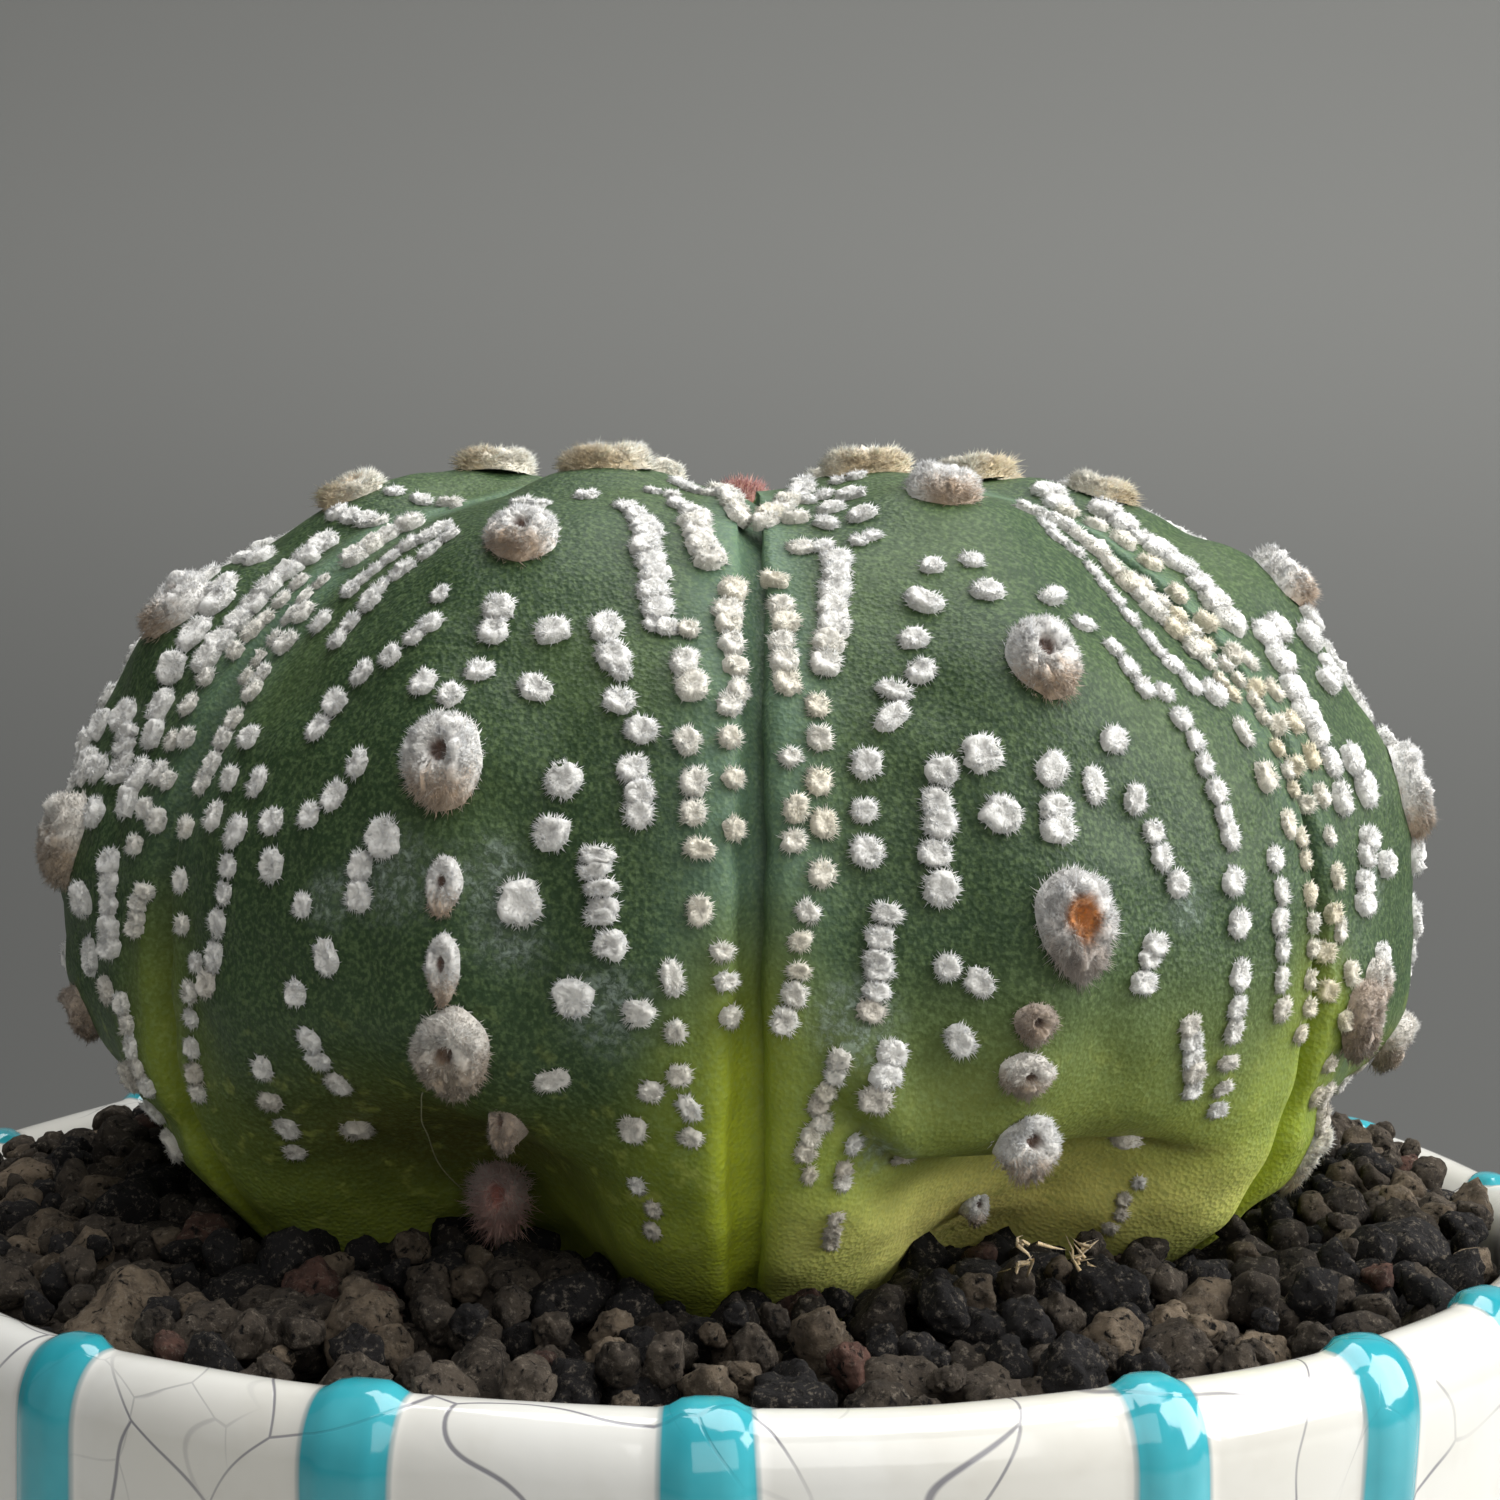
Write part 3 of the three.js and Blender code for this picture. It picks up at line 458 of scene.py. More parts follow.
def skin_frames(rib, across, level, step=0.004):
    """Place, way down the rib, way across and way out of the skin at each spot."""
    place = skin(rib, across, level)
    form = skin if step < 0.01 else plain_skin
    sideways = form(rib, across + step, level) - form(rib, across - step, level)
    lengthwise = form(rib, across, level + step) - form(rib, across, level - step)
    out = unit(np.cross(lengthwise, sideways))
    down = unit(lengthwise - out * (lengthwise * out).sum(-1, keepdims=True))
    return place, down, np.cross(out, down), out


def on_skin(frames, x, y, z):
    """Points x down the rib, y across it and z out of the skin from each place."""
    place, down, sideways, out = frames
    return place + x[:, None] * down + y[:, None] * sideways + z[:, None] * out


def skin_tints(rib, across, level, points):
    side = np.abs(across)
    patchy = waves(points, 14, 21)
    lip = smooth(side, 0.55, 0.9)
    color = np.broadcast_to(tint(50, 76, 43), points.shape).copy()

    def lay(share, shade):
        nonlocal color
        color = color + (np.asarray(shade) - color) * np.clip(share, 0, 1)[..., None]

    lay(0.5 * (1 - smooth(level, 0.2, 0.5)), tint(60, 88, 57))
    lay(0.4 * smooth(patchy, 0, 1.4) * (1 - smooth(level, 0.5, 0.7)), tint(88, 112, 62))
    middle = ((rib == 3) & (across > 0)) | ((rib == 4) & (across < 0))
    bloom = np.where(middle, 1 - smooth(level, 0.54, 0.82), 1 - smooth(level, 0.36, 0.66))
    lay(0.72 * smooth(side, 0.68, 0.93) * bloom, tint(118, 150, 124))
    start = 0.69 - 0.11 * lip
    # The base's yellow-green is the skin's own; laying less of it on the left and more on the lit right is
    # painted shade and light
    painted_light_side = 0.44 + 0.56 * smooth(points[..., 0], -22, 3)
    lay(smooth(level + 0.014 * patchy, start - 0.02, start + 0.12) * painted_light_side, tint(126, 142, 46))
    lay(0.85 * smooth(level, 0.75, 0.88) * painted_light_side, tint(182, 192, 74))
    # The foot of the front right rib is pale yellow; this near-white yellow is brightened past it as painted
    # light where the foot faces down into shade
    lay((rib == 4) * smooth(level, 0.75, 0.83), tint(246, 246, 136))
    lay(smooth(side, 0.84, 0.97) * smooth(level, 0.56, 0.76) * np.where(middle, 1, 0.4), tint(196, 208, 52))
    # Painted shade in the hollow (darker olive-brown), the pale yellow foot under the crease brightened with
    # painted light, yellow patches, and a painted shade line along the crease
    lay((rib == 3) * 0.85 * bell((across + 0.05) / 0.62, 1) * bell(level - 0.765, 0.06), tint(88, 80, 38))
    lay((rib == 4) * 0.5 * smooth(level, 0.6, 0.72), tint(150, 164, 74))
    lay((rib == 4) * bell((across - 0.05) / 0.6, 1) * bell(level - 0.835, 0.07), tint(250, 236, 138))
    lay((rib == 4) * 0.6 * bell((across + 0.3) / 0.34, 1) * bell(level - 0.705, 0.03), tint(132, 140, 66))
    # Painted shade: a darker line along the crease
    crease = bell(crease_distance(across, level), 0.006) * (1 - smooth(np.abs(across), 0.5, 0.8))
    lay((rib == 4) * 0.6 * crease, tint(104, 92, 50))
    # Painted shade: the skin above the foot is dimmed against the strong overhead light, the foot keeps its
    # full colour
    return color * (0.6 + 0.4 * smooth(level, 0.6, 0.8))[..., None]


SCURF_SPOTS = [  # rib, across, level, spread
    (3, 0.3, 0.575, 1.5), (3, 0.02, 0.585, 2.4), (3, 0.35, 0.61, 1.8), (3, 0.62, 0.645, 2.2),
    (4, -0.72, 0.65, 2.2), (4, -0.6, 0.735, 1.6), (3, -0.2, 0.6, 1.3), (4, 0.3, 0.6, 1.2),
    (1, 0.2, 0.55, 2.2), (6, -0.3, 0.6, 2.4), (7, 0.4, 0.5, 2.0), (5, -0.5, 0.6, 1.5),
]


def cactus_skin():
    across_steps = np.linspace(-1, 1, 45)[:-1]
    shares = 0.62 * across_steps + 0.38 * np.sin(np.pi * across_steps / 2)
    rib = np.repeat(np.arange(8), len(shares))
    across = np.tile(shares, 8)
    levels = np.concatenate([
        np.linspace(0.004, 0.9, 200), np.linspace(0.905, 1.0, 12), np.linspace(1.02, 1.19, 10),
    ])
    ribs, level = np.meshgrid(rib, levels)
    spread = np.broadcast_to(across, ribs.shape)
    points = skin(ribs, spread, level)
    colors = skin_tints(ribs, spread, level, points)
    scurf = np.zeros(level.shape)
    for number, place, height, size in SCURF_SPOTS:
        centre = skin(np.array([number]), np.array([place]), np.array([height]))[0]
        scurf = scurf + bell(np.linalg.norm(points - centre, axis=-1), size)
    poles = np.array([[AXIS_X, 0, RIM_EDGE + CROWN_Z], [AXIS_X, 0, RIM_EDGE + ROOT_END]])
    count = len(across)
    faces = as_triangles(grid_faces(len(levels), count, True))
    ring = np.arange(count)
    top = np.stack([np.full(count, points[..., 0].size), ring, (ring + 1) % count], 1)
    base = (len(levels) - 1) * count
    end = np.stack([np.full(count, points[..., 0].size + 1), base + (ring + 1) % count, base + ring], 1)
    faces = np.concatenate([faces, top, end])
    flat = np.concatenate([points.reshape(-1, 3), poles])
    tints = np.concatenate([colors.reshape(-1, 3), np.tile(tint(110, 132, 80), (2, 1))])
    values = {"scurf": np.append(scurf.ravel(), [0, 0]), "level": np.append(level.ravel(), [0, 1.2])}
    make_piece("cactus_skin", flat, faces, skin_material(), "cactus", tints, values)


def skin_material():
    s = Shader("plant_skin", 0.54, Subsurface_Weight=0.12, Subsurface_Scale=0.0012,
               Subsurface_Radius=(0.7, 1.0, 0.25), Specular_IOR_Level=0.25)
    tint_socket = s.attribute("tint").outputs["Color"]
    level = s.attribute("level").outputs["Fac"]
    blotch = s.noise(420, 3.0, 0.55)
    speck = s.noise(3600, 2.0, 0.6)
    color = s.mix(s.ramp(blotch, 0.35, 0.68, 0.0, 0.14), tint_socket, tint(46, 66, 28))
    color = s.mix(s.ramp(speck, 0.4, 0.7, 0.0, 0.2), color, tint(140, 164, 108))
    # Painted shade: tiny dark dots for the shade in the skin's fine pits
    color = s.mix(s.ramp(s.cells(5200), 0.0, 0.22, 0.22, 0.0), color, tint(24, 34, 14))
    lower = s.ramp(level, 0.62, 0.8)
    color = s.mix(s.math("MULTIPLY", lower, s.ramp(s.noise(900, 3.0), 0.56, 0.72, 0.0, 0.45)),
                  color, tint(176, 182, 90))
    scurf = s.attribute("scurf").outputs["Fac"]
    flaky = s.ramp(s.noise(1900, 6.0, 0.75, warp=0.4), 0.44, 0.64, 0.12, 1.0)
    scurf_share = s.math("MULTIPLY", s.ramp(scurf, 0.1, 1.0), flaky)
    color = s.mix(s.math("MULTIPLY", scurf_share, 0.5), color, tint(186, 202, 190))
    stain = s.ramp(s.noise(330, 4.0, 0.65, warp=0.8), 0.71, 0.76, 0.0, 0.5)
    color = s.mix(stain, color, tint(172, 160, 118))
    normal = s.bump(s.cells(4200), 0.042)
    normal = s.bump(s.noise(1700, 3.0, 0.6), 0.06, normal)
    normal = s.bump(scurf_share, 0.06, normal)
    return s.finish(color, normal)


# Wool. A pad's and an areole's section: rings from the middle (0) to the edge (1), and their heights. A pad's
# rings also get painted shade in the middle and at the edge, and a painted highlight on the rim.
# Colours of an areole: upper wool, lower wool, middle; where the lower wool starts and ends along it
# (-1 its upper end, 1 its lower), and how far the middle's colour spreads
WOOL = {
    "white": [tint(248, 245, 239), tint(206, 178, 148), tint(98, 66, 46), 0.0, 0.85, 0.24],
    "tan": [tint(240, 233, 222), tint(182, 160, 134), tint(122, 92, 66), -0.4, 0.4, 0.24],
    "brown": [tint(186, 166, 146), tint(160, 136, 112), tint(104, 78, 58), -0.5, 0.6, 0.24],
    "orange": [tint(244, 240, 235), tint(188, 172, 158), tint(218, 140, 58), -0.1, 0.7, 0.42],
    "mauve": [tint(255, 214, 200), tint(255, 192, 174), tint(228, 150, 132), -0.4, 0.5, 0.3],
    "cream": [tint(250, 241, 220), tint(240, 217, 174), tint(214, 180, 126), -0.1, 0.8, 0.3],
}
WHITE_FLECK = tint(250, 248, 242)
CREAM_FLECK = tint(242, 228, 192)
OLD_FLECK = tint(206, 194, 172)
PAD_RINGS = np.array([0.0, 0.28, 0.52, 0.74, 0.9, 1.0, 1.05])
PAD_HEIGHTS = np.array([0.7, 0.78, 0.96, 1.0, 0.78, 0.3, -0.35])
PAD_PAINTED_SHADE = np.array([0.88, 0.92, 1.0, 1.02, 0.98, 0.88, 0.7])
AREOLE_RINGS = np.array([0.0, 0.14, 0.21, 0.26, 0.34, 0.48, 0.66, 0.82, 0.93, 1.0, 1.03])
AREOLE_HEIGHTS = np.array([0.46, 0.48, 0.54, 0.82, 0.93, 0.99, 1.0, 0.85, 0.56, 0.18, -0.3])


def hair_rings(ways, radii, rng):
    """Three points round each way, at right angles to it."""
    a = unit(np.cross(ways, rng.normal(size=(len(ways), 3))))
    b = np.cross(ways, a)
    turns = np.radians([0, 120, 240])[None, :, None]
    return (np.cos(turns) * a[:, None] + np.sin(turns) * b[:, None]) * radii[:, None, None]


def hairs(batch, roots, ways, lengths, radii, root_colors, tip_colors, rng):
    """Fine straight hairs, three-sided and pointed."""
    count = len(roots)
    ways = unit(ways)
    low = roots[:, None] + hair_rings(ways, radii, rng)
    tip = (roots + ways * lengths[:, None])[:, None]
    points = np.concatenate([low, tip], 1).reshape(-1, 3)
    one = np.array([[0, 1, 3], [1, 2, 3], [2, 0, 3]])
    faces = (one[None] + 4 * np.arange(count)[:, None, None]).reshape(-1, 3)
    colors = np.concatenate([np.repeat(root_colors[:, None], 3, 1), tip_colors[:, None]], 1)
    batch.add(points, faces, colors.reshape(-1, 3))


def spikes(batch, roots, ways, lengths, radii, bend, root_colors, tip_colors, rng):
    """Tapering three-sided bits with a bend half way up."""
    count = len(roots)
    ways = unit(ways)
    ring = hair_rings(ways, radii, rng)
    reach = ways * lengths[:, None]
    low = roots[:, None] + ring
    mid = (roots + reach * 0.55 + bend * 0.25)[:, None] + ring * 0.72
    tip = (roots + reach + bend)[:, None]
    points = np.concatenate([low, mid, tip], 1).reshape(-1, 3)
    one = np.array([
        [0, 1, 4], [0, 4, 3], [1, 2, 5], [1, 5, 4], [2, 0, 3], [2, 3, 5], [3, 4, 6], [4, 5, 6], [5, 3, 6],
    ])
    faces = (one[None] + 7 * np.arange(count)[:, None, None]).reshape(-1, 3)
    middle = (root_colors + tip_colors) / 2
    colors = np.concatenate([
        np.repeat(root_colors[:, None], 3, 1), np.repeat(middle[:, None], 3, 1), tip_colors[:, None],
    ], 1).reshape(-1, 3)
    batch.add(points, faces, colors)


def dome_faces(rings, sides):
    """Triangles of a dome: a top point, then its rings."""
    quads = as_triangles(grid_faces(rings, sides, True)) + 1
    ring = np.arange(sides)
    cap = np.stack([np.zeros(sides, int), 1 + ring, 1 + (ring + 1) % sides], 1)
    return np.concatenate([cap, quads])


def fleck_domes(batch, frames, long, wide, height, shades, rough, rng, sides=22):
    """Low lumpy squarish pads on the skin, each with its own uneven outline."""
    place, down, across, out = frames
    count, rings = len(place), len(PAD_RINGS) - 1
    turns = np.arange(sides) * 2 * math.pi / sides
    outline = np.ones((count, sides))
    for times in (2, 3, 5, 7):
        outline = outline + rough * rng.uniform(0.3, 1, (count, 1)) * np.sin(
            times * turns + rng.uniform(0, 6.28, (count, 1)))
    outline = outline + 0.5 * rough * rng.normal(size=(count, sides))
    outline = outline[:, None] * PAD_RINGS[None, 1:, None]
    corner = rng.uniform(0.8, 1.05, (count, 1, 1))
    cosine, sine = np.cos(turns), np.sin(turns)
    x = outline * np.sign(cosine) * np.abs(cosine) ** corner * long[:, None, None]
    y = outline * np.sign(sine) * np.abs(sine) ** corner * wide[:, None, None]
    lumps = 1 + 1.5 * rough * rng.normal(size=(count, rings, sides))
    tilt = 1 + 0.22 * np.sin(turns + rng.uniform(0, 6.28, (count, 1)))[:, None]
    z = PAD_HEIGHTS[None, 1:, None] * height[:, None, None] * lumps * tilt
    body = (place[:, None, None] + x[..., None] * down[:, None, None] + y[..., None] * across[:, None, None]
            + z[..., None] * out[:, None, None])
    top = place + out * (PAD_HEIGHTS[0] * height)[:, None]
    points = np.concatenate([top[:, None], body.reshape(count, -1, 3)], 1)
    one = dome_faces(rings, sides)
    faces = (one[None] + points.shape[1] * np.arange(count)[:, None, None]).reshape(-1, 3)
    flat = np.concatenate([shades[:, :1], np.repeat(shades[:, 1:], sides, 1)], 1)
    batch.add(points.reshape(-1, 3), faces, flat.reshape(-1, 3))


def fleck_places(rib, rng):
    """Every fleck of a rib: across, level, turn, half its length and half its width."""
    half = math.radians(GROOVES[rib + 1] - GROOVES[rib]) / 2 * SIDE_R
    flip, found = 1, []
    if rib in (3, 4):
        rows, lone = (LEFT_ROWS, LEFT_FLECKS) if rib == 3 else (RIGHT_ROWS, RIGHT_FLECKS)
    else:
        flip = mirror_of(rib)
        listed = ROWS_A if rib % 2 else ROWS_B
        shifts = rng.normal(size=(len(listed), 4)) * [0.02, 0.006, 0.02, 0.006]
        ends = np.array([row[:4] for row in listed]) + shifts
        widths = 1.85 - 0.75 * smooth(np.abs(ends[:, 0]), 0.6, 0.84)
        rows = [[*end, row[4], width] for end, row, width in zip(ends, listed, widths) if row[4] > 1]
        lone = [[end[0], end[1], 1.7, 1.5] for end, row in zip(ends, listed) if row[4] == 1]
    for across0, level0, across1, level1, count, width in rows:
        sideways, lengthwise = (across1 - across0) * half * flip, (level1 - level0) * LEVEL_LENGTH
        spacing = math.hypot(sideways, lengthwise) / (count - 1)
        turn = math.atan2(sideways, lengthwise)
        for i in range(count):
            t = i / (count - 1)
            wobble = rng.normal(size=2) * [0.01, 0.0012]
            size = width / 2 * rng.uniform(0.9, 1.08)
            long = min(spacing * rng.uniform(0.6, 0.7), size * rng.uniform(0.9, 1.3))
            found.append([(across0 + (across1 - across0) * t + wobble[0]) * flip,
                          level0 + (level1 - level0) * t + wobble[1],
                          turn + rng.normal() * 0.1, max(long, 0.38), size])
    for across, level, width, length in lone:
        found.append([across * flip, level, rng.normal() * 0.35, length / 2, width / 2])
    found = np.array(found)
    found[:, 0] = np.clip(found[:, 0], -0.95, 0.95)
    return found


def rib_wool(rib):
    rng = np.random.default_rng(100 + rib)
    batch, wisps = Batch(), Batch()
    across, level, turn, long, wide = fleck_places(rib, rng).T
    count = len(across)
    near_groove = smooth(np.abs(across), 0.66, 0.84)
    long, wide = long * 0.92, wide * 0.92
    height = (0.4 + 0.1 * near_groove) * rng.uniform(0.85, 1.25, count) * np.clip(wide / 0.75, 0.6, 1.1)
    place, down, sideways, out = skin_frames(np.full(count, rib), across, level)
    c, s = np.cos(turn)[:, None], np.sin(turn)[:, None]
    down, sideways = down * c + sideways * s, sideways * c - down * s
    frames = (place, down, sideways, out)
    # Flecks by the grooves are cream; their extra cream on the lit right side is painted warm light
    painted_light_side = smooth(place[:, 0], -14, 22)
    creamy = near_groove * rng.uniform(0.3, 1, count) * (0.3 + 0.7 * painted_light_side)
    aged = smooth(level + 0.04 * rng.normal(size=count), 0.66, 0.8)[:, None]
    body = WHITE_FLECK + (CREAM_FLECK - WHITE_FLECK) * creamy[:, None]
    body = body + (OLD_FLECK - body) * aged * 0.8
    # Painted shade and highlight across each pad's rings
    shades = body[:, None] * PAD_PAINTED_SHADE[None, :, None]
    fleck_domes(batch, frames, long, wide, height, shades, 0.07, rng)
    number = np.round(230 * (long * wide) ** 0.7 + 80).astype(int)
    fleck_hairs(wisps, frames, long, wide, height, number, body, rng)
    for across, level, wide, ratio, kind in areoles_of(rib):
        areole(batch, wisps, rib, across, level, wide, ratio, kind, rng)
    return batch, wisps


def fleck_hairs(batch, frames, long, wide, height, number, colors, rng):
    frames = [np.repeat(axis, number, 0) for axis in frames]
    _, down, sideways, out = frames
    long, wide, height = (np.repeat(size, number) for size in (long, wide, height))
    total = len(out)
    far = rng.uniform(0, 1, total) ** 0.34 * 1.02
    turn = rng.uniform(0, 2 * math.pi, total)
    x = far * np.sign(np.cos(turn)) * np.abs(np.cos(turn)) ** 0.85 * long
    y = far * np.sign(np.sin(turn)) * np.abs(np.sin(turn)) ** 0.85 * wide
    spot = on_skin(frames, x, y, np.interp(far, PAD_RINGS, PAD_HEIGHTS) * height - 0.03)
    flat = unit(np.cos(turn)[:, None] * down * 0.7 + np.sin(turn)[:, None] * sideways)
    lean = (0.25 + 1.0 * far ** 2)[:, None]
    lift = (0.5 - 0.38 * far ** 2)[:, None]
    clumps = np.stack([waves(spot, 0.55, seed) for seed in (61, 62, 63)], 1)
    ways = flat * lean + out * lift + clumps * 0.4 + rng.normal(size=(total, 3)) * 0.25
    lengths = rng.uniform(0.14, 0.33, total) * (0.7 + 0.5 * far)
    tone = np.repeat(colors, number, 0) * rng.uniform(0.92, 1.12, (total, 1))
    radii = rng.uniform(0.022, 0.038, total)
    hairs(batch, spot, ways, lengths, radii, np.minimum(tone, 0.97), np.minimum(tone * 1.1, 0.97), rng)


def areole_form(far, turn, long, wide, height, phase):
    """Place on an areole in its own frame, from the share of the way out and the turn from its lower end."""
    rim = 1 + 0.05 * np.sin(2 * turn + phase[0]) + 0.035 * np.sin(3 * turn + phase[1])
    rim = rim + 0.018 * np.sin(7 * turn + phase[2])
    lower = np.maximum(np.cos(turn), 0)
    x = far * rim * long * np.cos(turn) - 0.2 * long * (1 - np.minimum(far, 1))
    y = far * rim * wide * np.sin(turn) * (1 - 0.2 * lower ** 1.5)
    lump = 1 + 0.08 * np.sin(3 * turn + phase[3]) + 0.05 * np.sin(5 * turn + 4 * far + phase[4])
    return x, y, np.interp(far, AREOLE_RINGS, AREOLE_HEIGHTS) * height * lump


def areole_tone(kind, x, far, long, rng):
    upper, lower, middle, start, end, spread = WOOL[kind]
    share = smooth(x / long + 0.16 * rng.normal(size=x.shape), start, end)[:, None]
    tone = upper + (lower - upper) * share
    hollow = 1 - smooth(far, spread * 0.8, spread * 1.3)[:, None]
    return tone + (middle - tone) * hollow


def areole(batch, wisps, rib, across, level, wide, ratio, kind, rng):
    """A thick pad of felted wool with a hollow in it."""
    place, down, sideways, out = (
        axis[0] for axis in skin_frames(np.array([rib]), np.array([across]), np.array([level]), 0.03))
    stand = 0.0
    # By the crease and the hollow of the front ribs an areole stands off the folded skin, facing outwards
    if level > 0.7 and rib in (3, 4):
        stand = 0.9 if kind == "mauve" else 0.4
        out = unit(out * [1, 1, 0])
        down = np.array([0, 0, -1.0])
        sideways = np.cross(out, down)
        place = place + out * stand
    long = wide * ratio
    height = wide * {"cream": 0.36, "white": 0.52}.get(kind, 0.58)
    phase = rng.uniform(0, 6.28, 5)
    sides, rings = 40, len(AREOLE_RINGS) - 1
    far = np.concatenate([[0], np.repeat(AREOLE_RINGS[1:], sides)])
    turn = np.concatenate([[0], np.tile(np.arange(sides) * 2 * math.pi / sides, rings)])
    x, y, z = areole_form(far, turn, long * 0.93, wide * 0.93, height, phase)
    z = z + 0.04 * wide * rng.normal(size=len(z)) * (far < 0.95)
    uneven = waves(np.stack([x, y, 0 * z], 1), 1.1, rib + 30) * smooth(far, 0.25, 0.5) * (far < 0.95)
    z = z + 0.07 * wide * uneven
    # Its underside reaches back to the skin
    tuck = (far > 1.01) * min(stand, 0.4)
    z = z - 3 * tuck
    x, y = x * (1 - 0.9 * tuck), y * (1 - 0.9 * tuck)
    frames = (place, down, sideways, out)
    batch.add(on_skin(frames, x, y, z), dome_faces(rings, sides), areole_tone(kind, x, far, long, rng))
    number = int(720 * long * wide) + 220
    shaggy = {"mauve": 2.6, "cream": 1.35, "orange": 1.25}.get(kind, 1.0)
    far = np.sqrt(rng.uniform(0.07, 1.06, number))
    turn = rng.uniform(0, 2 * math.pi, number)
    x, y, z = areole_form(far, turn, long * 0.93, wide * 0.93, height, phase)
    spot = on_skin(frames, x, y, z - 0.04)
    swirl = turn + rng.normal(size=number) * 0.7
    flat = np.cos(swirl)[:, None] * down + np.sin(swirl)[:, None] * sideways
    lean = (0.25 + 0.95 * far)[:, None]
    lift = (0.66 - 0.32 * smooth(far, 0.5, 1.0))[:, None]
    lower = smooth(np.cos(turn), 0.1, 0.95) * smooth(far, 0.6, 1)
    tangle = np.stack([waves(spot, 0.9, seed) for seed in (71, 72, 73)], 1) * 0.5
    tangle = tangle + rng.normal(size=(number, 3)) * 0.28
    ways = flat * lean + out * lift + tangle + lower[:, None] * down * 0.5
    clump = waves(spot, 0.8, rib + 40)
    lengths = rng.uniform(0.24, 0.52, number) * (0.8 + 0.5 * lower) * min(1, wide / 1.4) * shaggy
    lengths = lengths * (1 + 0.3 * np.clip(clump, -1.5, 1.5))
    tufts = 1 + 0.09 * clump + 0.05 * waves(spot, 0.3, rib + 50)
    tone = areole_tone(kind, x, far, long, rng) * (rng.uniform(0.86, 1.12, number) * tufts)[:, None]
    radii = rng.uniform(0.022, 0.038, number)
    hairs(wisps, spot, ways, lengths, radii, np.minimum(tone * 0.97, 0.97), np.minimum(tone * 1.1, 0.97), rng)


def wool_material():
    s = Shader("wool", 0.85, Specular_IOR_Level=0.3, Sheen_Weight=0.5, Sheen_Roughness=0.6)
    tone = s.attribute("tint").outputs["Color"]
    fine = s.ramp(s.noise(2600, 5.0, 0.75, warp=0.8), 0.38, 0.64, 0.0, 0.2)
    color = s.mix(fine, tone, tint(190, 180, 166), "MULTIPLY")
    normal = s.bump(s.noise(2400, 5.0, 0.75, warp=1.0), 0.2)
    return s.finish(color, normal)


def crown_tuft(wool):
    """The reddish bud of new wool in the middle of the crown."""
    rng = np.random.default_rng(77)
    batch = Batch()
    base = np.array([AXIS_X, 0, RIM_EDGE + CROWN_Z - 0.4])
    heights = np.linspace(0, 1, 9)
    radii = BUD_R * np.sqrt(np.clip(1 - heights ** 2.6, 0, 1)) + 0.02
    turns = np.arange(24) * math.pi / 12
    points = np.stack([
        radii[:, None] * np.cos(turns), radii[:, None] * np.sin(turns),
        np.broadcast_to(heights[:, None] * BUD_HEIGHT, (9, 24)),
    ], -1).reshape(-1, 3)
    points = points * (1 + 0.04 * rng.normal(size=(len(points), 1))) + base
    share = np.repeat(heights, 24)[:, None]
    shades = tint(206, 176, 140) + (tint(158, 84, 72) - tint(206, 176, 140)) * share
    batch.add(points, as_triangles(grid_faces(9, 24, True))[:, ::-1], shades)
    count = 2600
    level = rng.uniform(0.1, 1, count) ** 0.8
    turn = rng.uniform(0, 2 * math.pi, count)
    far = BUD_R * np.sqrt(1 - level ** 2.6)
    roots = base + np.stack([far * np.cos(turn), far * np.sin(turn), level * BUD_HEIGHT - 0.1], 1)
    ways = np.stack([np.cos(turn) * 0.5, np.sin(turn) * 0.5, 0.5 + 0.6 * level], 1)
    ways = ways + rng.normal(size=(count, 3)) * 0.35
    red = np.where(rng.uniform(size=(count, 1)) < 0.6, tint(168, 70, 62), tint(206, 140, 112))
    pale = smooth(0.75 - level, 0, 0.4)[:, None]
    red = red + (tint(226, 206, 172) - red) * pale
    hairs(batch, roots, ways, rng.uniform(0.4, 0.95, count), np.full(count, 0.04), red * 0.85,
          np.minimum(red * 1.15, 0.95), rng)
    batch.make("crown_tuft", wool, "cactus", "plant")


# Grit
def soil_top(radius):
    share = np.clip((MOUTH_R - radius) / (MOUTH_R - 33), 0, 1)
    return RIM_EDGE + SOIL_AT_RIM + (SOIL_AT_PLANT - SOIL_AT_RIM) * share


def sag_share(angle, height):
    """How much of the rim's sag reaches this place."""
    turn = np.abs((angle + 180) % 360 - 180)
    return bell(turn - RIM_DIP_AT, RIM_DIP_SPREAD) * np.maximum(0, height / RIM_EDGE * 2 - 1)


def rim_sag(angle, height):
    return -RIM_DIP * sag_share(angle, height)


def soil_dip(angle, height):
    return -SOIL_DIP * np.maximum(0, -np.sin(np.radians(angle))) * sag_share(angle, height)


def plant_edge():
    """The plant's radius round its axis where it leaves the grit, for each degree from -180."""
    angles = np.arange(-180, 180) + 0.5
    rib = np.clip(np.searchsorted(GROOVES, angles, side="right") - 1, 0, 7)
    across = 2 * (angles - GROOVES[rib]) / (GROOVES[rib + 1] - GROOVES[rib]) - 1
    levels = np.linspace(0.74, 0.97, 70)
    ribs, level = np.meshgrid(rib, levels)
    points = skin(ribs, np.broadcast_to(across, ribs.shape), level)
    miss = np.abs(points[..., 2] - (RIM_EDGE + SOIL_AT_PLANT + 0.6))
    best = points[miss.argmin(0), np.arange(360)]
    return np.hypot(best[:, 0] - AXIS_X, best[:, 1])


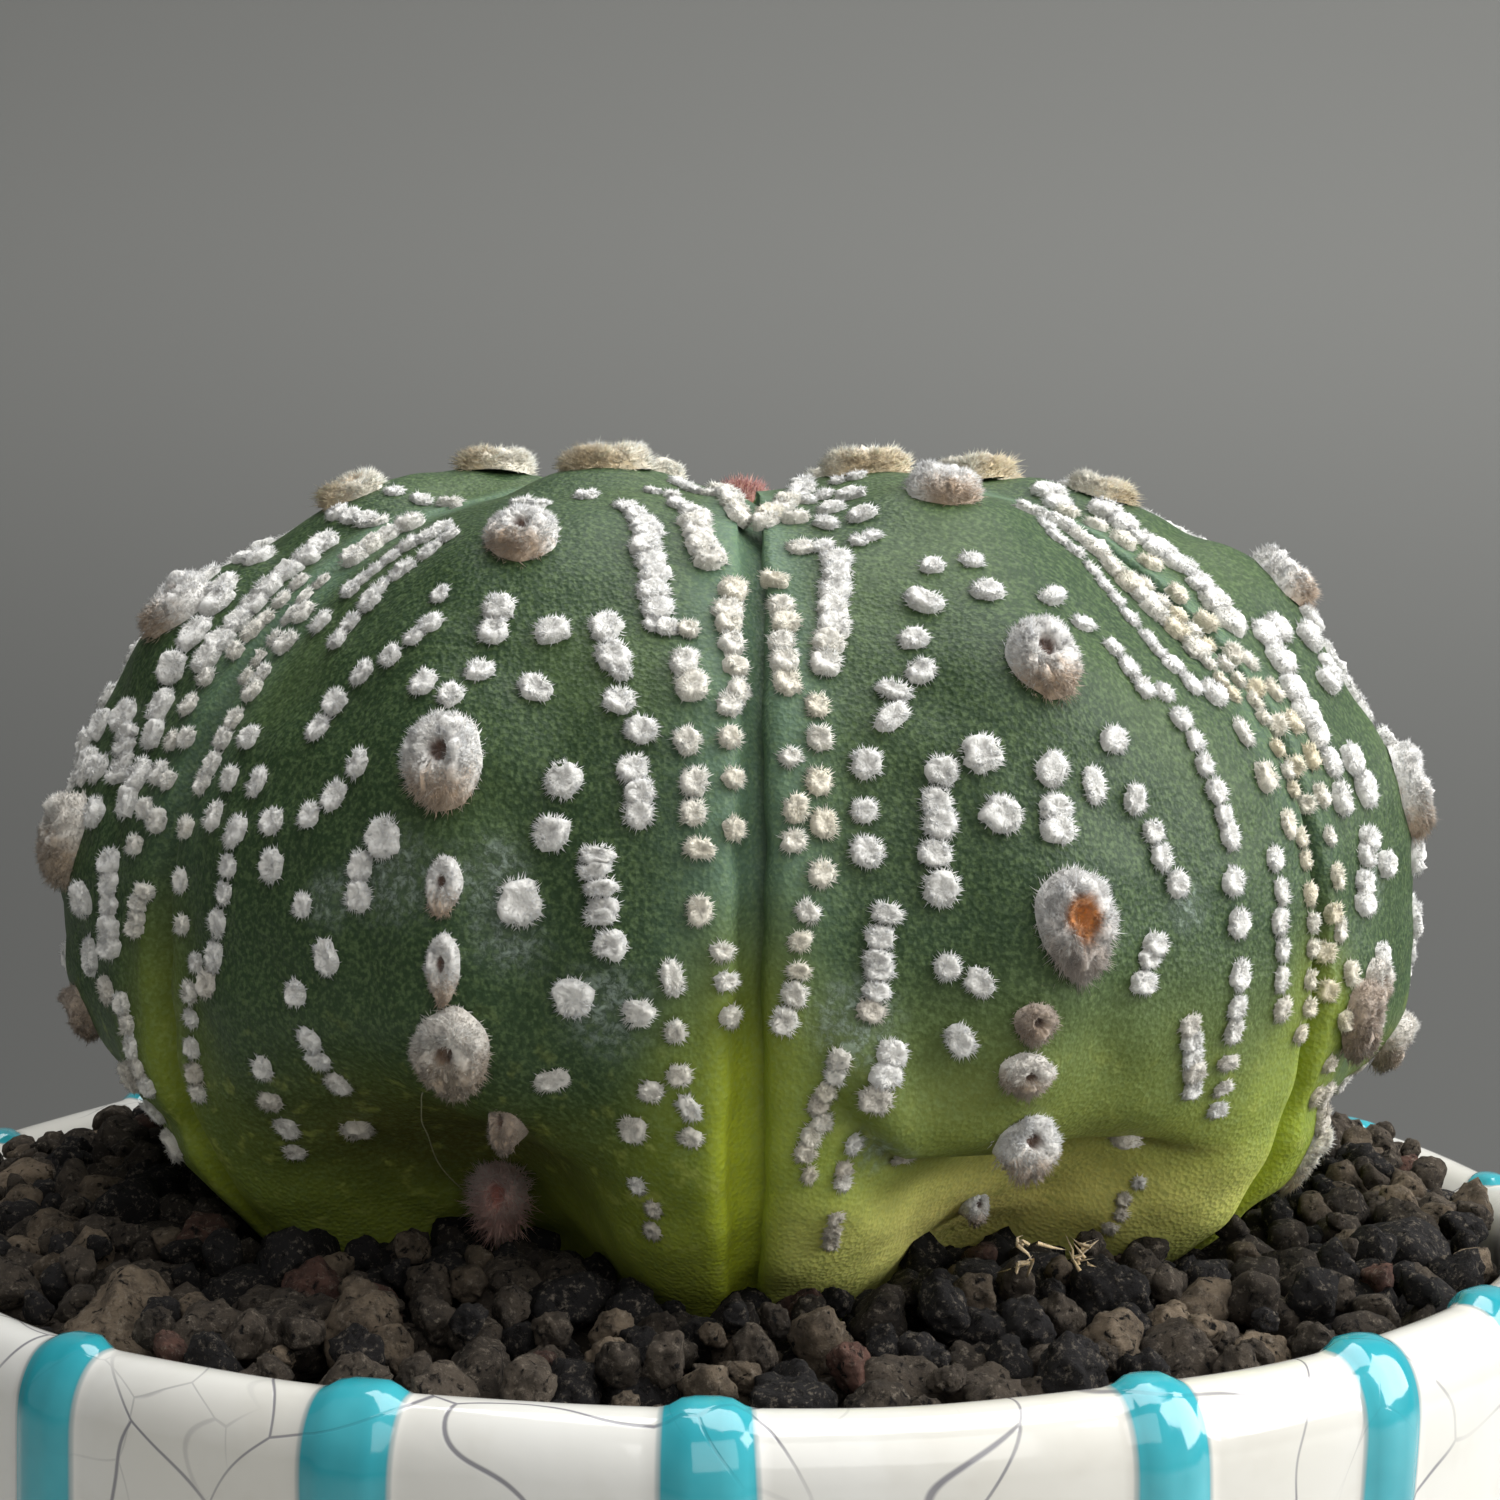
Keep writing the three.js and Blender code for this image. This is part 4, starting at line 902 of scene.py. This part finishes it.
def stones(count, directions, seed):
    """Angular stones with rounded edges, as lengths along the given directions."""
    rng = np.random.default_rng(seed)
    made = []
    for _ in range(count):
        normals = unit(rng.normal(size=(14, 3)))
        offsets = rng.uniform(0.7, 1.0, 14)
        facing = np.maximum(directions @ normals.T, 1e-3)
        reach = np.minimum(((facing / offsets) ** 22).sum(-1) ** (-1 / 22), 1.16)
        lumps = waves(directions, 0.9, rng.integers(1e6)) * 0.06
        lumps = lumps + waves(directions, 0.4, rng.integers(1e6)) * 0.045
        lumps = lumps + waves(directions, 0.2, rng.integers(1e6)) * 0.02
        stretch = rng.uniform(0.8, 1.16, 3)
        made.append(directions * (reach * (1 + lumps))[:, None] * stretch)
    return made


def sphere(steps):
    ball = bmesh.new()
    bmesh.ops.create_icosphere(ball, subdivisions=steps, radius=1)
    points = np.array([v.co[:] for v in ball.verts])
    faces = np.array([[v.index for v in f.verts] for f in ball.faces])
    ball.free()
    return points, faces


def settle_grains():
    """Drops grains of mixed sizes one by one on the bed between the plant and the wall."""
    rng = np.random.default_rng(9)
    edge = plant_edge()
    placed = np.empty((0, 4))
    tries = 30000
    radius = np.sqrt(rng.uniform(25 ** 2, MOUTH_R ** 2, tries))
    angle = rng.uniform(-180, 180, tries)
    front = smooth(radius, 34, 42) * smooth(np.cos(np.radians(angle)), -0.2, 0.5)
    size = np.clip(np.exp(rng.normal(0.32 + 0.24 * front, 0.38)), 0.5, 2.6)
    slack = rng.uniform(0, 1, tries) ** 3
    for r, far, turn, loose in zip(size, radius, angle, slack):
        x, y = far * math.sin(math.radians(turn)), -far * math.cos(math.radians(turn))
        if far + r * 0.75 > MOUTH_R - 0.3:
            continue
        around = math.degrees(math.atan2(x - AXIS_X, -y))
        away = math.hypot(x - AXIS_X, y) - edge[int(around + 180) % 360]
        if away < r * 0.42:
            continue
        top = soil_top(far) + float(soil_dip(turn, RIM_EDGE)) - 0.8 * (1 - float(smooth(away, 1, 6)))
        height = top - 4.2 + r * 0.5
        if len(placed):
            flat = np.hypot(placed[:, 0] - x, placed[:, 1] - y)
            touch = (placed[:, 3] + r) * 0.9
            close = flat < touch
            if close.any():
                rise = placed[close, 2] + np.sqrt(touch[close] ** 2 - flat[close] ** 2)
                height = max(height, rise.max())
        if height + r * 0.55 > top + 1.0 + loose * 1.0:
            continue
        placed = np.vstack([placed, [x, y, height, r]])
    return placed


def grit():
    rng = np.random.default_rng(19)
    grains = settle_grains()
    edge = plant_edge()
    covered = []
    for x, y, z, r in grains:
        flat = np.hypot(grains[:, 0] - x, grains[:, 1] - y)
        covered.append(((flat < grains[:, 3] + r * 0.2) & (grains[:, 2] > z + 1.2)).sum())
    grains = grains[np.array(covered) < 4]
    coarse_points, coarse_faces = sphere(3)
    fine_points, fine_faces = sphere(4)
    coarse, fine = stones(STONE_SHAPES, coarse_points, 31), stones(STONE_SHAPES, fine_points, 32)
    material = grain_material()
    order = np.argsort(np.arctan2(grains[:, 0], -grains[:, 1]))
    grains = grains[order]
    batch, number, held = Batch(), 1, 0
    for x, y, z, r in grains:
        near = y < -30 and z > soil_top(math.hypot(x, y)) - 2.4
        shape, faces = (fine, fine_faces) if near else (coarse, coarse_faces)
        points = shape[rng.integers(STONE_SHAPES)]
        turn = np.linalg.qr(rng.normal(size=(3, 3)))[0]
        turn = turn * np.sign(np.linalg.det(turn))
        pick = rng.uniform()
        around = math.degrees(math.atan2(x - AXIS_X, -y))
        away = math.hypot(x - AXIS_X, y) - edge[int(around + 180) % 360]
        clear_of_plant = float(smooth(away, 1.5, 9.0))
        if pick < 0.05 + 0.17 * clear_of_plant:
            shade = tint(*TAN_GRAIN)
        elif pick < 0.08 + 0.17 * clear_of_plant:
            shade = tint(*RUST_GRAIN)
        elif pick < 0.58:
            shade = tint(*BLACK_GRAIN)
        else:
            shade = tint(*GREY_GRAIN)
        # Painted shade: grains close to the plant are darkened where the plant shades the grit; tan grains
        # are also rarer there
        painted_shade_by_plant = 0.36 + 0.64 * clear_of_plant
        shade = shade * rng.uniform(0.6, 1.3) * painted_shade_by_plant
        placed = points @ turn.T * r * 1.06 + [x, y, z]
        batch.add(placed, faces, np.tile(shade, (len(points), 1)))
        held += len(faces)
        if held > FACES_PER_PIECE:
            batch.make(f"grit_grains_{number}", material, "grit", "grit")
            batch, number, held = Batch(), number + 1, 0
    if batch.total:
        batch.make(f"grit_grains_{number}", material, "grit", "grit")
    grit_bed(material)


def grit_bed(material):
    lid = SCREEN_THICKNESS + 2 * GAP
    section = [
        [0.01, FLOOR_TOP + lid], [SCREEN_R + GAP, FLOOR_TOP + lid], [SCREEN_R + GAP, FLOOR_TOP + GAP],
        [FOOT_R + 1 - GAP, FLOOR_TOP + GAP], [MOUTH_R - 4, FLOOR_TOP + 5], [MOUTH_R - 1, RIM_EDGE - 20],
        [MOUTH_R - 0.8, RIM_EDGE - 4],
    ]
    section += [[r, soil_top(r) - 2.8] for r in np.linspace(MOUTH_R - 1.2, 28, 22)] + [[0.01, 73.0]]
    radius, height = np.array(section).T
    angle = np.linspace(-180, 180, 181)[:-1]
    turns = np.radians(angle)[None]
    lift = soil_dip(angle[None], height[:, None])
    points = np.stack([
        radius[:, None] * np.sin(turns), -radius[:, None] * np.cos(turns),
        height[:, None] + lift,
    ], -1)
    top = (height > RIM_EDGE - 6)[:, None]
    points[..., 2] += top * 0.5 * waves(points, 3.2, 8)
    flat = points.reshape(-1, 3)
    faces = as_triangles(grid_faces(len(section), 180, True))
    make_piece("grit_bed", flat, faces, material, "grit", np.tile(tint(40, 36, 34), (len(flat), 1)))


def grain_material():
    s = Shader("grit_grain", 0.95, Specular_IOR_Level=0.2)
    tone = s.attribute("tint").outputs["Color"]
    color = s.mix(s.ramp(s.noise(900, 5.0, 0.7), 0.38, 0.66, 0.0, 0.6), tone, tint(34, 31, 30))
    color = s.mix(s.ramp(s.noise(2600, 4.0, 0.75), 0.52, 0.72, 0.0, 0.55), color, tint(158, 146, 130))
    # Painted shade: the pores are darkened by the same mask that sinks them as bump
    pits = s.ramp(s.noise(2100, 3.0, 0.6, warp=0.6), 0.3, 0.44)
    color = s.mix(s.math("SUBTRACT", 1.0, pits), color, tint(22, 20, 19))
    normal = s.bump(pits, 0.24)
    normal = s.bump(s.noise(1500, 8.0, 0.8), 0.5, normal)
    return s.finish(color, normal)


# Pot
def pot_outline():
    outer = MOUTH_R + WALL
    top = RIM_EDGE + RIM_CROWN
    rows = np.array([
        [DRAIN_R, FLOOR_TOP, 0], [FOOT_R + 1, FLOOR_TOP, 0], [MOUTH_R - 3.4, FLOOR_TOP + 5, 0],
        [MOUTH_R - 0.4, RIM_EDGE - 20, 0], [MOUTH_R - 0.1, RIM_EDGE - 3, 0], [MOUTH_R, RIM_EDGE - 0.3, 0.3],
        [MOUTH_R + WALL * 0.28, top + 0.1, 1], [MOUTH_R + WALL * 0.68, top + 0.05, 1],
        [outer - 0.2, RIM_EDGE - 0.9, 1], [outer, RIM_EDGE - 3.4, 1], [outer - 0.5, RIM_EDGE - 16, 1],
        [outer - 1.2, RIM_EDGE - 34, 1], [outer - 2.2, FLOOR_TOP + 10, 1], [outer - 5, FLOOR_TOP + 1, 0.3],
        [FOOT_R + 0.6, FOOT_HEIGHT + 0.6, 0], [FOOT_R, FOOT_HEIGHT * 0.6, 0], [FOOT_R - 0.2, 0, 0],
        [FOOT_R - FOOT_WIDTH, 0, 0], [FOOT_R - FOOT_WIDTH - 0.6, FOOT_HEIGHT, 0],
        [DRAIN_R, FOOT_HEIGHT + 0.4, 0],
    ])
    for _ in range(3):
        after = np.roll(rows, -1, 0)
        rows = np.stack([rows * 0.75 + after * 0.25, rows * 0.25 + after * 0.75], 1).reshape(-1, 3)
    rows[:, 1] = np.where(rows[:, 1] < 0.02, 0, rows[:, 1])
    return rows


def pot():
    rows = pot_outline()
    columns = 560
    angle = np.arange(columns) * 360 / columns - 180
    radius, height, relief = rows[:, 0][:, None], rows[:, 1][:, None], rows[:, 2][:, None]
    turns = np.radians(angle)[None]
    away = np.full((len(rows), columns), 99.0)
    for number, centre in enumerate(BAND_ANGLES):
        shift = 0.28 * np.sin(height / 9 + number * 2.1) + 0.16 * np.sin(height / 3.7 + number)
        half = BAND_WIDTH / 2 + 0.16 * np.sin(height / 6 + number * 1.7)
        gap = np.abs((angle[None] - centre - shift + 180) % 360 - 180) - half
        away = np.minimum(away, gap)
    edge = away * math.radians(1) * BAND_R
    inside = smooth(relief, 0.25, 0.6)
    start = smooth(radius, MOUTH_R + 0.5, MOUTH_R + 2.2)
    edge = edge + np.where(height > RIM_EDGE - 2, 1.3 * (1 - start) ** 2, 0)
    rise = 1 - smooth(edge, -1.1, 0.05)
    raised = BAND_RELIEF * rise ** 0.8 * inside
    middle = np.array([MOUTH_R + WALL / 2, RIM_EDGE - 3])
    way_r, way_z = radius - middle[0], np.maximum(0, height - middle[1])
    size = np.maximum(np.hypot(way_r, way_z), 1e-6)
    wall = np.stack([radius * np.sin(turns), -radius * np.cos(turns), height + 0 * turns], -1)
    lump = 0.1 * waves(wall, 22, 6) * inside
    r = radius + way_r / size * (raised + lump)
    z = height + way_z / size * (raised + lump) + rim_sag(angle[None], height)
    points = np.stack([r * np.sin(turns), -r * np.cos(turns), z], -1).reshape(-1, 3)
    quads = grid_faces(len(rows) + 1, columns, True) % (len(rows) * columns)
    faces = as_triangles(quads)
    values = {"edge": np.where(inside > 0.02, edge, 9.0).ravel()}
    make_piece("glazed_pot", points, faces, glaze_material(), "pot", None, values)


def glaze_material():
    s = Shader("glaze", 0.1, Specular_IOR_Level=0.55, Coat_Weight=0.35, Coat_Roughness=0.04)
    edge = s.attribute("edge").outputs["Fac"]
    base = s.mix(s.ramp(s.noise(45, 3.0), 0.35, 0.7), tint(210, 207, 198), tint(218, 217, 212))
    base = s.mix(s.ramp(s.noise(230, 3.0, 0.6), 0.5, 0.75, 0.0, 0.22), base, tint(186, 180, 166))
    shift = s.add("ShaderNodeTexNoise", {"Vector": s.place, "Scale": 70.0, "Detail": 1.5}).outputs["Color"]
    shift = s.add("ShaderNodeVectorMath", {0: shift, "Scale": 0.009}, operation="SCALE").outputs[0]
    bent = s.add("ShaderNodeVectorMath", {0: s.place, 1: shift}, operation="ADD").outputs[0]
    flat = s.add("ShaderNodeVectorMath", {0: bent, 1: (1.0, 1.0, 0.8)}, operation="MULTIPLY").outputs[0]
    line = s.ramp(s.cells(96, "DISTANCE_TO_EDGE", flat), 0.0022, 0.0092, 1.0, 0.0)
    strength = s.ramp(s.noise(85, 2.0), 0.38, 0.56, 0.12, 0.9)
    line = s.math("MULTIPLY", line, strength)
    aside = s.add("ShaderNodeVectorMath", {0: bent, 1: (0.31, 0.17, 0.23)}, operation="ADD").outputs[0]
    hair = s.ramp(s.cells(170, "DISTANCE_TO_EDGE", aside), 0.003, 0.012, 1.0, 0.0)
    hair = s.math("MULTIPLY", hair, s.ramp(s.noise(60, 2.0, vector=aside), 0.56, 0.68, 0.0, 0.5))
    crack = s.math("MAXIMUM", line, hair)
    base = s.mix(crack, base, tint(120, 118, 124))
    speck = s.ramp(s.cells(260), 0.03, 0.05, 0.8, 0.0)
    rare = s.ramp(s.noise(140, 1.0), 0.64, 0.68)
    base = s.mix(s.math("MULTIPLY", speck, rare), base, tint(84, 72, 62))
    turquoise = s.mix(s.ramp(s.noise(160, 3.0, 0.6), 0.3, 0.72), tint(40, 146, 158), tint(66, 166, 177))
    turquoise = s.mix(s.math("MULTIPLY", crack, 0.25), turquoise, tint(40, 92, 104))
    band = s.ramp(edge, -0.16, 0.02, 1.0, 0.0)
    rim_line = s.math("MULTIPLY", s.ramp(edge, -0.22, -0.02), s.ramp(edge, 0.0, 0.2, 1.0, 0.0))
    color = s.mix(band, base, turquoise)
    color = s.mix(s.math("MULTIPLY", rim_line, 0.55), color, tint(92, 128, 134))
    normal = s.bump(s.noise(260, 2.0, 0.5), 0.06)
    normal = s.bump(s.noise(1200, 2.0, 0.5), 0.006, normal)
    normal = s.bump(s.math("SUBTRACT", 1.0, crack), 0.012, normal)
    return s.finish(color, normal)


# Small dry bits on the grit, and a loose fibre on the plant
STRAW_SPOTS = [(15.4, -32.2, 1.0), (17.9, -31.8, 0.8), (20, 36, 0.9), (-33, 22, 0.8)]  # x, y, spread
STRAW_BITS = 11
STRAW_R = 0.125
FIBRE_R = 0.034


def litter(wool):
    rng = np.random.default_rng(41)
    batch = Batch()
    for x, y, spread in STRAW_SPOTS:
        top = soil_top(math.hypot(x, y)) + 1.9
        roots = np.stack([
            x + rng.normal(size=STRAW_BITS) * 0.4 * spread, y + rng.normal(size=STRAW_BITS) * 0.3,
            top + rng.uniform(0.4, 1.6, STRAW_BITS),
        ], 1)
        ways = rng.normal(size=(STRAW_BITS, 3)) * [1, 0.6, 0.8]
        straw = tint(238, 206, 150) * rng.uniform(0.75, 1.1, (STRAW_BITS, 1))
        spikes(batch, roots, ways, rng.uniform(0.5, 1.25, STRAW_BITS) * spread, np.full(STRAW_BITS, STRAW_R),
               rng.normal(size=(STRAW_BITS, 3)) * 0.45, straw * 0.8, straw, rng)
    batch.make("straw_bits", wool, "grit", "grit")


def fibre(wool):
    """A thin pale thread hanging from an areole of the front left rib."""
    share = np.linspace(0, 1, 30)
    level = 0.705 + 0.12 * share
    across = 0.05 - 0.27 * np.sin(share * 1.9)
    place, _, sideways, out = skin_frames(np.full(30, 3), across, level)
    middle = place + out * (0.1 + 0.3 * np.sin(share * 3.1))[:, None]
    turns = np.arange(5) * 2 * math.pi / 5
    ring = np.cos(turns)[None, :, None] * sideways[:, None] + np.sin(turns)[None, :, None] * out[:, None]
    points = (middle[:, None] + FIBRE_R * ring).reshape(-1, 3)
    faces = as_triangles(grid_faces(30, 5, True))
    make_piece("fibre", points, faces, wool, "cactus", np.tile(tint(150, 146, 84), (len(points), 1)))


def screen_look():
    s = Shader("screen_plastic", 0.55)
    color = s.mix(s.ramp(s.noise(500, 3.0), 0.4, 0.7), tint(30, 30, 31), tint(52, 50, 48))
    material = s.finish(color, s.bump(s.noise(900, 2.0), 0.05))
    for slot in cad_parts["drain_screen"].material_slots:
        slot.material = material


cactus_skin()
wool = wool_material()
for rib in range(8):
    pads, wisps = rib_wool(rib)
    pads.make(f"wool_rib_{rib + 1}", wool, "cactus", "plant")
    wisps.make(f"wool_hair_{rib + 1}", wool, "cactus", "plant")
crown_tuft(wool)
grit()
pot()
litter(wool)
fibre(wool)
screen_look()


# Stage, light and camera, in metres
SWEEP_Y = 0.2                   # the floor turns up into the backdrop behind this
SWEEP_R = 0.26
SWEEP_STEPS = 18
SWEEP_SIZE = 2.6
LIGHT_AIM = (0, 0, 0.09)
LIGHTS = [  # name, place, size, watts, colour
    ("window", (0.5, -0.06, 0.34), (0.45, 0.45), 4.6, (0.98, 0.99, 1.0)),
    ("front_fill", (0.16, -0.55, 0.46), (0.5, 0.4), 1.15, (1.0, 0.99, 0.97)),
    ("overhead", (0.12, 0.06, 0.7), (0.7, 0.5), 5.4, (0.99, 0.995, 1.0)),
]
AMBIENT_COLOR = (0.40, 0.41, 0.42, 1)
AMBIENT_STRENGTH = 0.55
CAMERA_PLACE = (0.002, -0.155, 0.1116)
CAMERA_PITCH = 3.86
CAMERA_ROLL = 0.63
SENSOR = 36
FOCAL_PIXELS = 2642
PICTURE_PIXELS = 1500


def stage():
    rows = [(-2.5, 0.0), (-1.0, 0.0), (-0.3, 0.0), (0.0, 0.0), (SWEEP_Y, 0.0)]
    for step in range(1, SWEEP_STEPS + 1):
        turn = math.pi / 2 * step / SWEEP_STEPS
        rows.append((SWEEP_Y + SWEEP_R * math.sin(turn), SWEEP_R - SWEEP_R * math.cos(turn)))
    rows += [(SWEEP_Y + SWEEP_R, 1.0), (SWEEP_Y + SWEEP_R, SWEEP_SIZE)]
    columns = [-SWEEP_SIZE, -1.2, -0.4, 0.0, 0.4, 1.2, SWEEP_SIZE]
    points = [(x, y, z) for y, z in rows for x in columns]
    n = len(columns)
    faces = [(i * n + j, i * n + j + 1, (i + 1) * n + j + 1, (i + 1) * n + j)
             for i in range(len(rows) - 1) for j in range(n - 1)]
    mesh = bpy.data.meshes.new("sweep")
    mesh.from_pydata(points, [], faces)
    mesh.shade_smooth()
    s = Shader("sweep_paint", 0.9, Specular_IOR_Level=0.1)
    place = s.add("ShaderNodeSeparateXYZ", {0: s.place}).outputs
    color = s.mix(s.ramp(place["Y"], 0.08, 0.22), tint(170, 169, 165), tint(85, 85, 83))
    color = s.mix(s.ramp(place["Z"], 0.03, 0.2), color, tint(112, 112, 109))
    mesh.materials.append(s.finish(color))
    sweep = bpy.data.objects.new("sweep", mesh)
    bpy.context.scene.collection.objects.link(sweep)


def soft_light(name, place, size, power, color):
    data = bpy.data.lights.new(name, "AREA")
    data.shape = "RECTANGLE"
    data.size, data.size_y = size
    data.energy = power
    data.color = color
    lamp = bpy.data.objects.new(name, data)
    lamp.location = place
    way = Vector(LIGHT_AIM) - Vector(place)
    lamp.rotation_mode = "QUATERNION"
    lamp.rotation_quaternion = way.to_track_quat("-Z", "Y")
    bpy.context.scene.collection.objects.link(lamp)


def camera():
    pitch, roll = math.radians(CAMERA_PITCH), math.radians(CAMERA_ROLL)
    forward = Vector((0, math.cos(pitch), -math.sin(pitch)))
    right = Vector((1, 0, 0))
    up = right.cross(forward)
    tilted_right = right * math.cos(roll) + up * math.sin(roll)
    tilted_up = up * math.cos(roll) - right * math.sin(roll)
    data = bpy.data.cameras.new("camera")
    data.sensor_width = SENSOR
    data.lens = SENSOR * FOCAL_PIXELS / PICTURE_PIXELS
    data.clip_start, data.clip_end = 0.01, 20
    viewer = bpy.data.objects.new("camera", data)
    turn = Matrix((tilted_right, tilted_up, -forward)).transposed()
    viewer.matrix_world = Matrix.Translation(CAMERA_PLACE) @ turn.to_4x4()
    bpy.context.scene.collection.objects.link(viewer)
    bpy.context.scene.camera = viewer


stage()
for light in LIGHTS:
    soft_light(*light)
world = bpy.data.worlds.new("studio")
world.use_nodes = True
world.node_tree.nodes["Background"].inputs["Color"].default_value = AMBIENT_COLOR
world.node_tree.nodes["Background"].inputs["Strength"].default_value = AMBIENT_STRENGTH
bpy.context.scene.world = world
bpy.context.scene.view_settings.view_transform = "Standard"
camera()
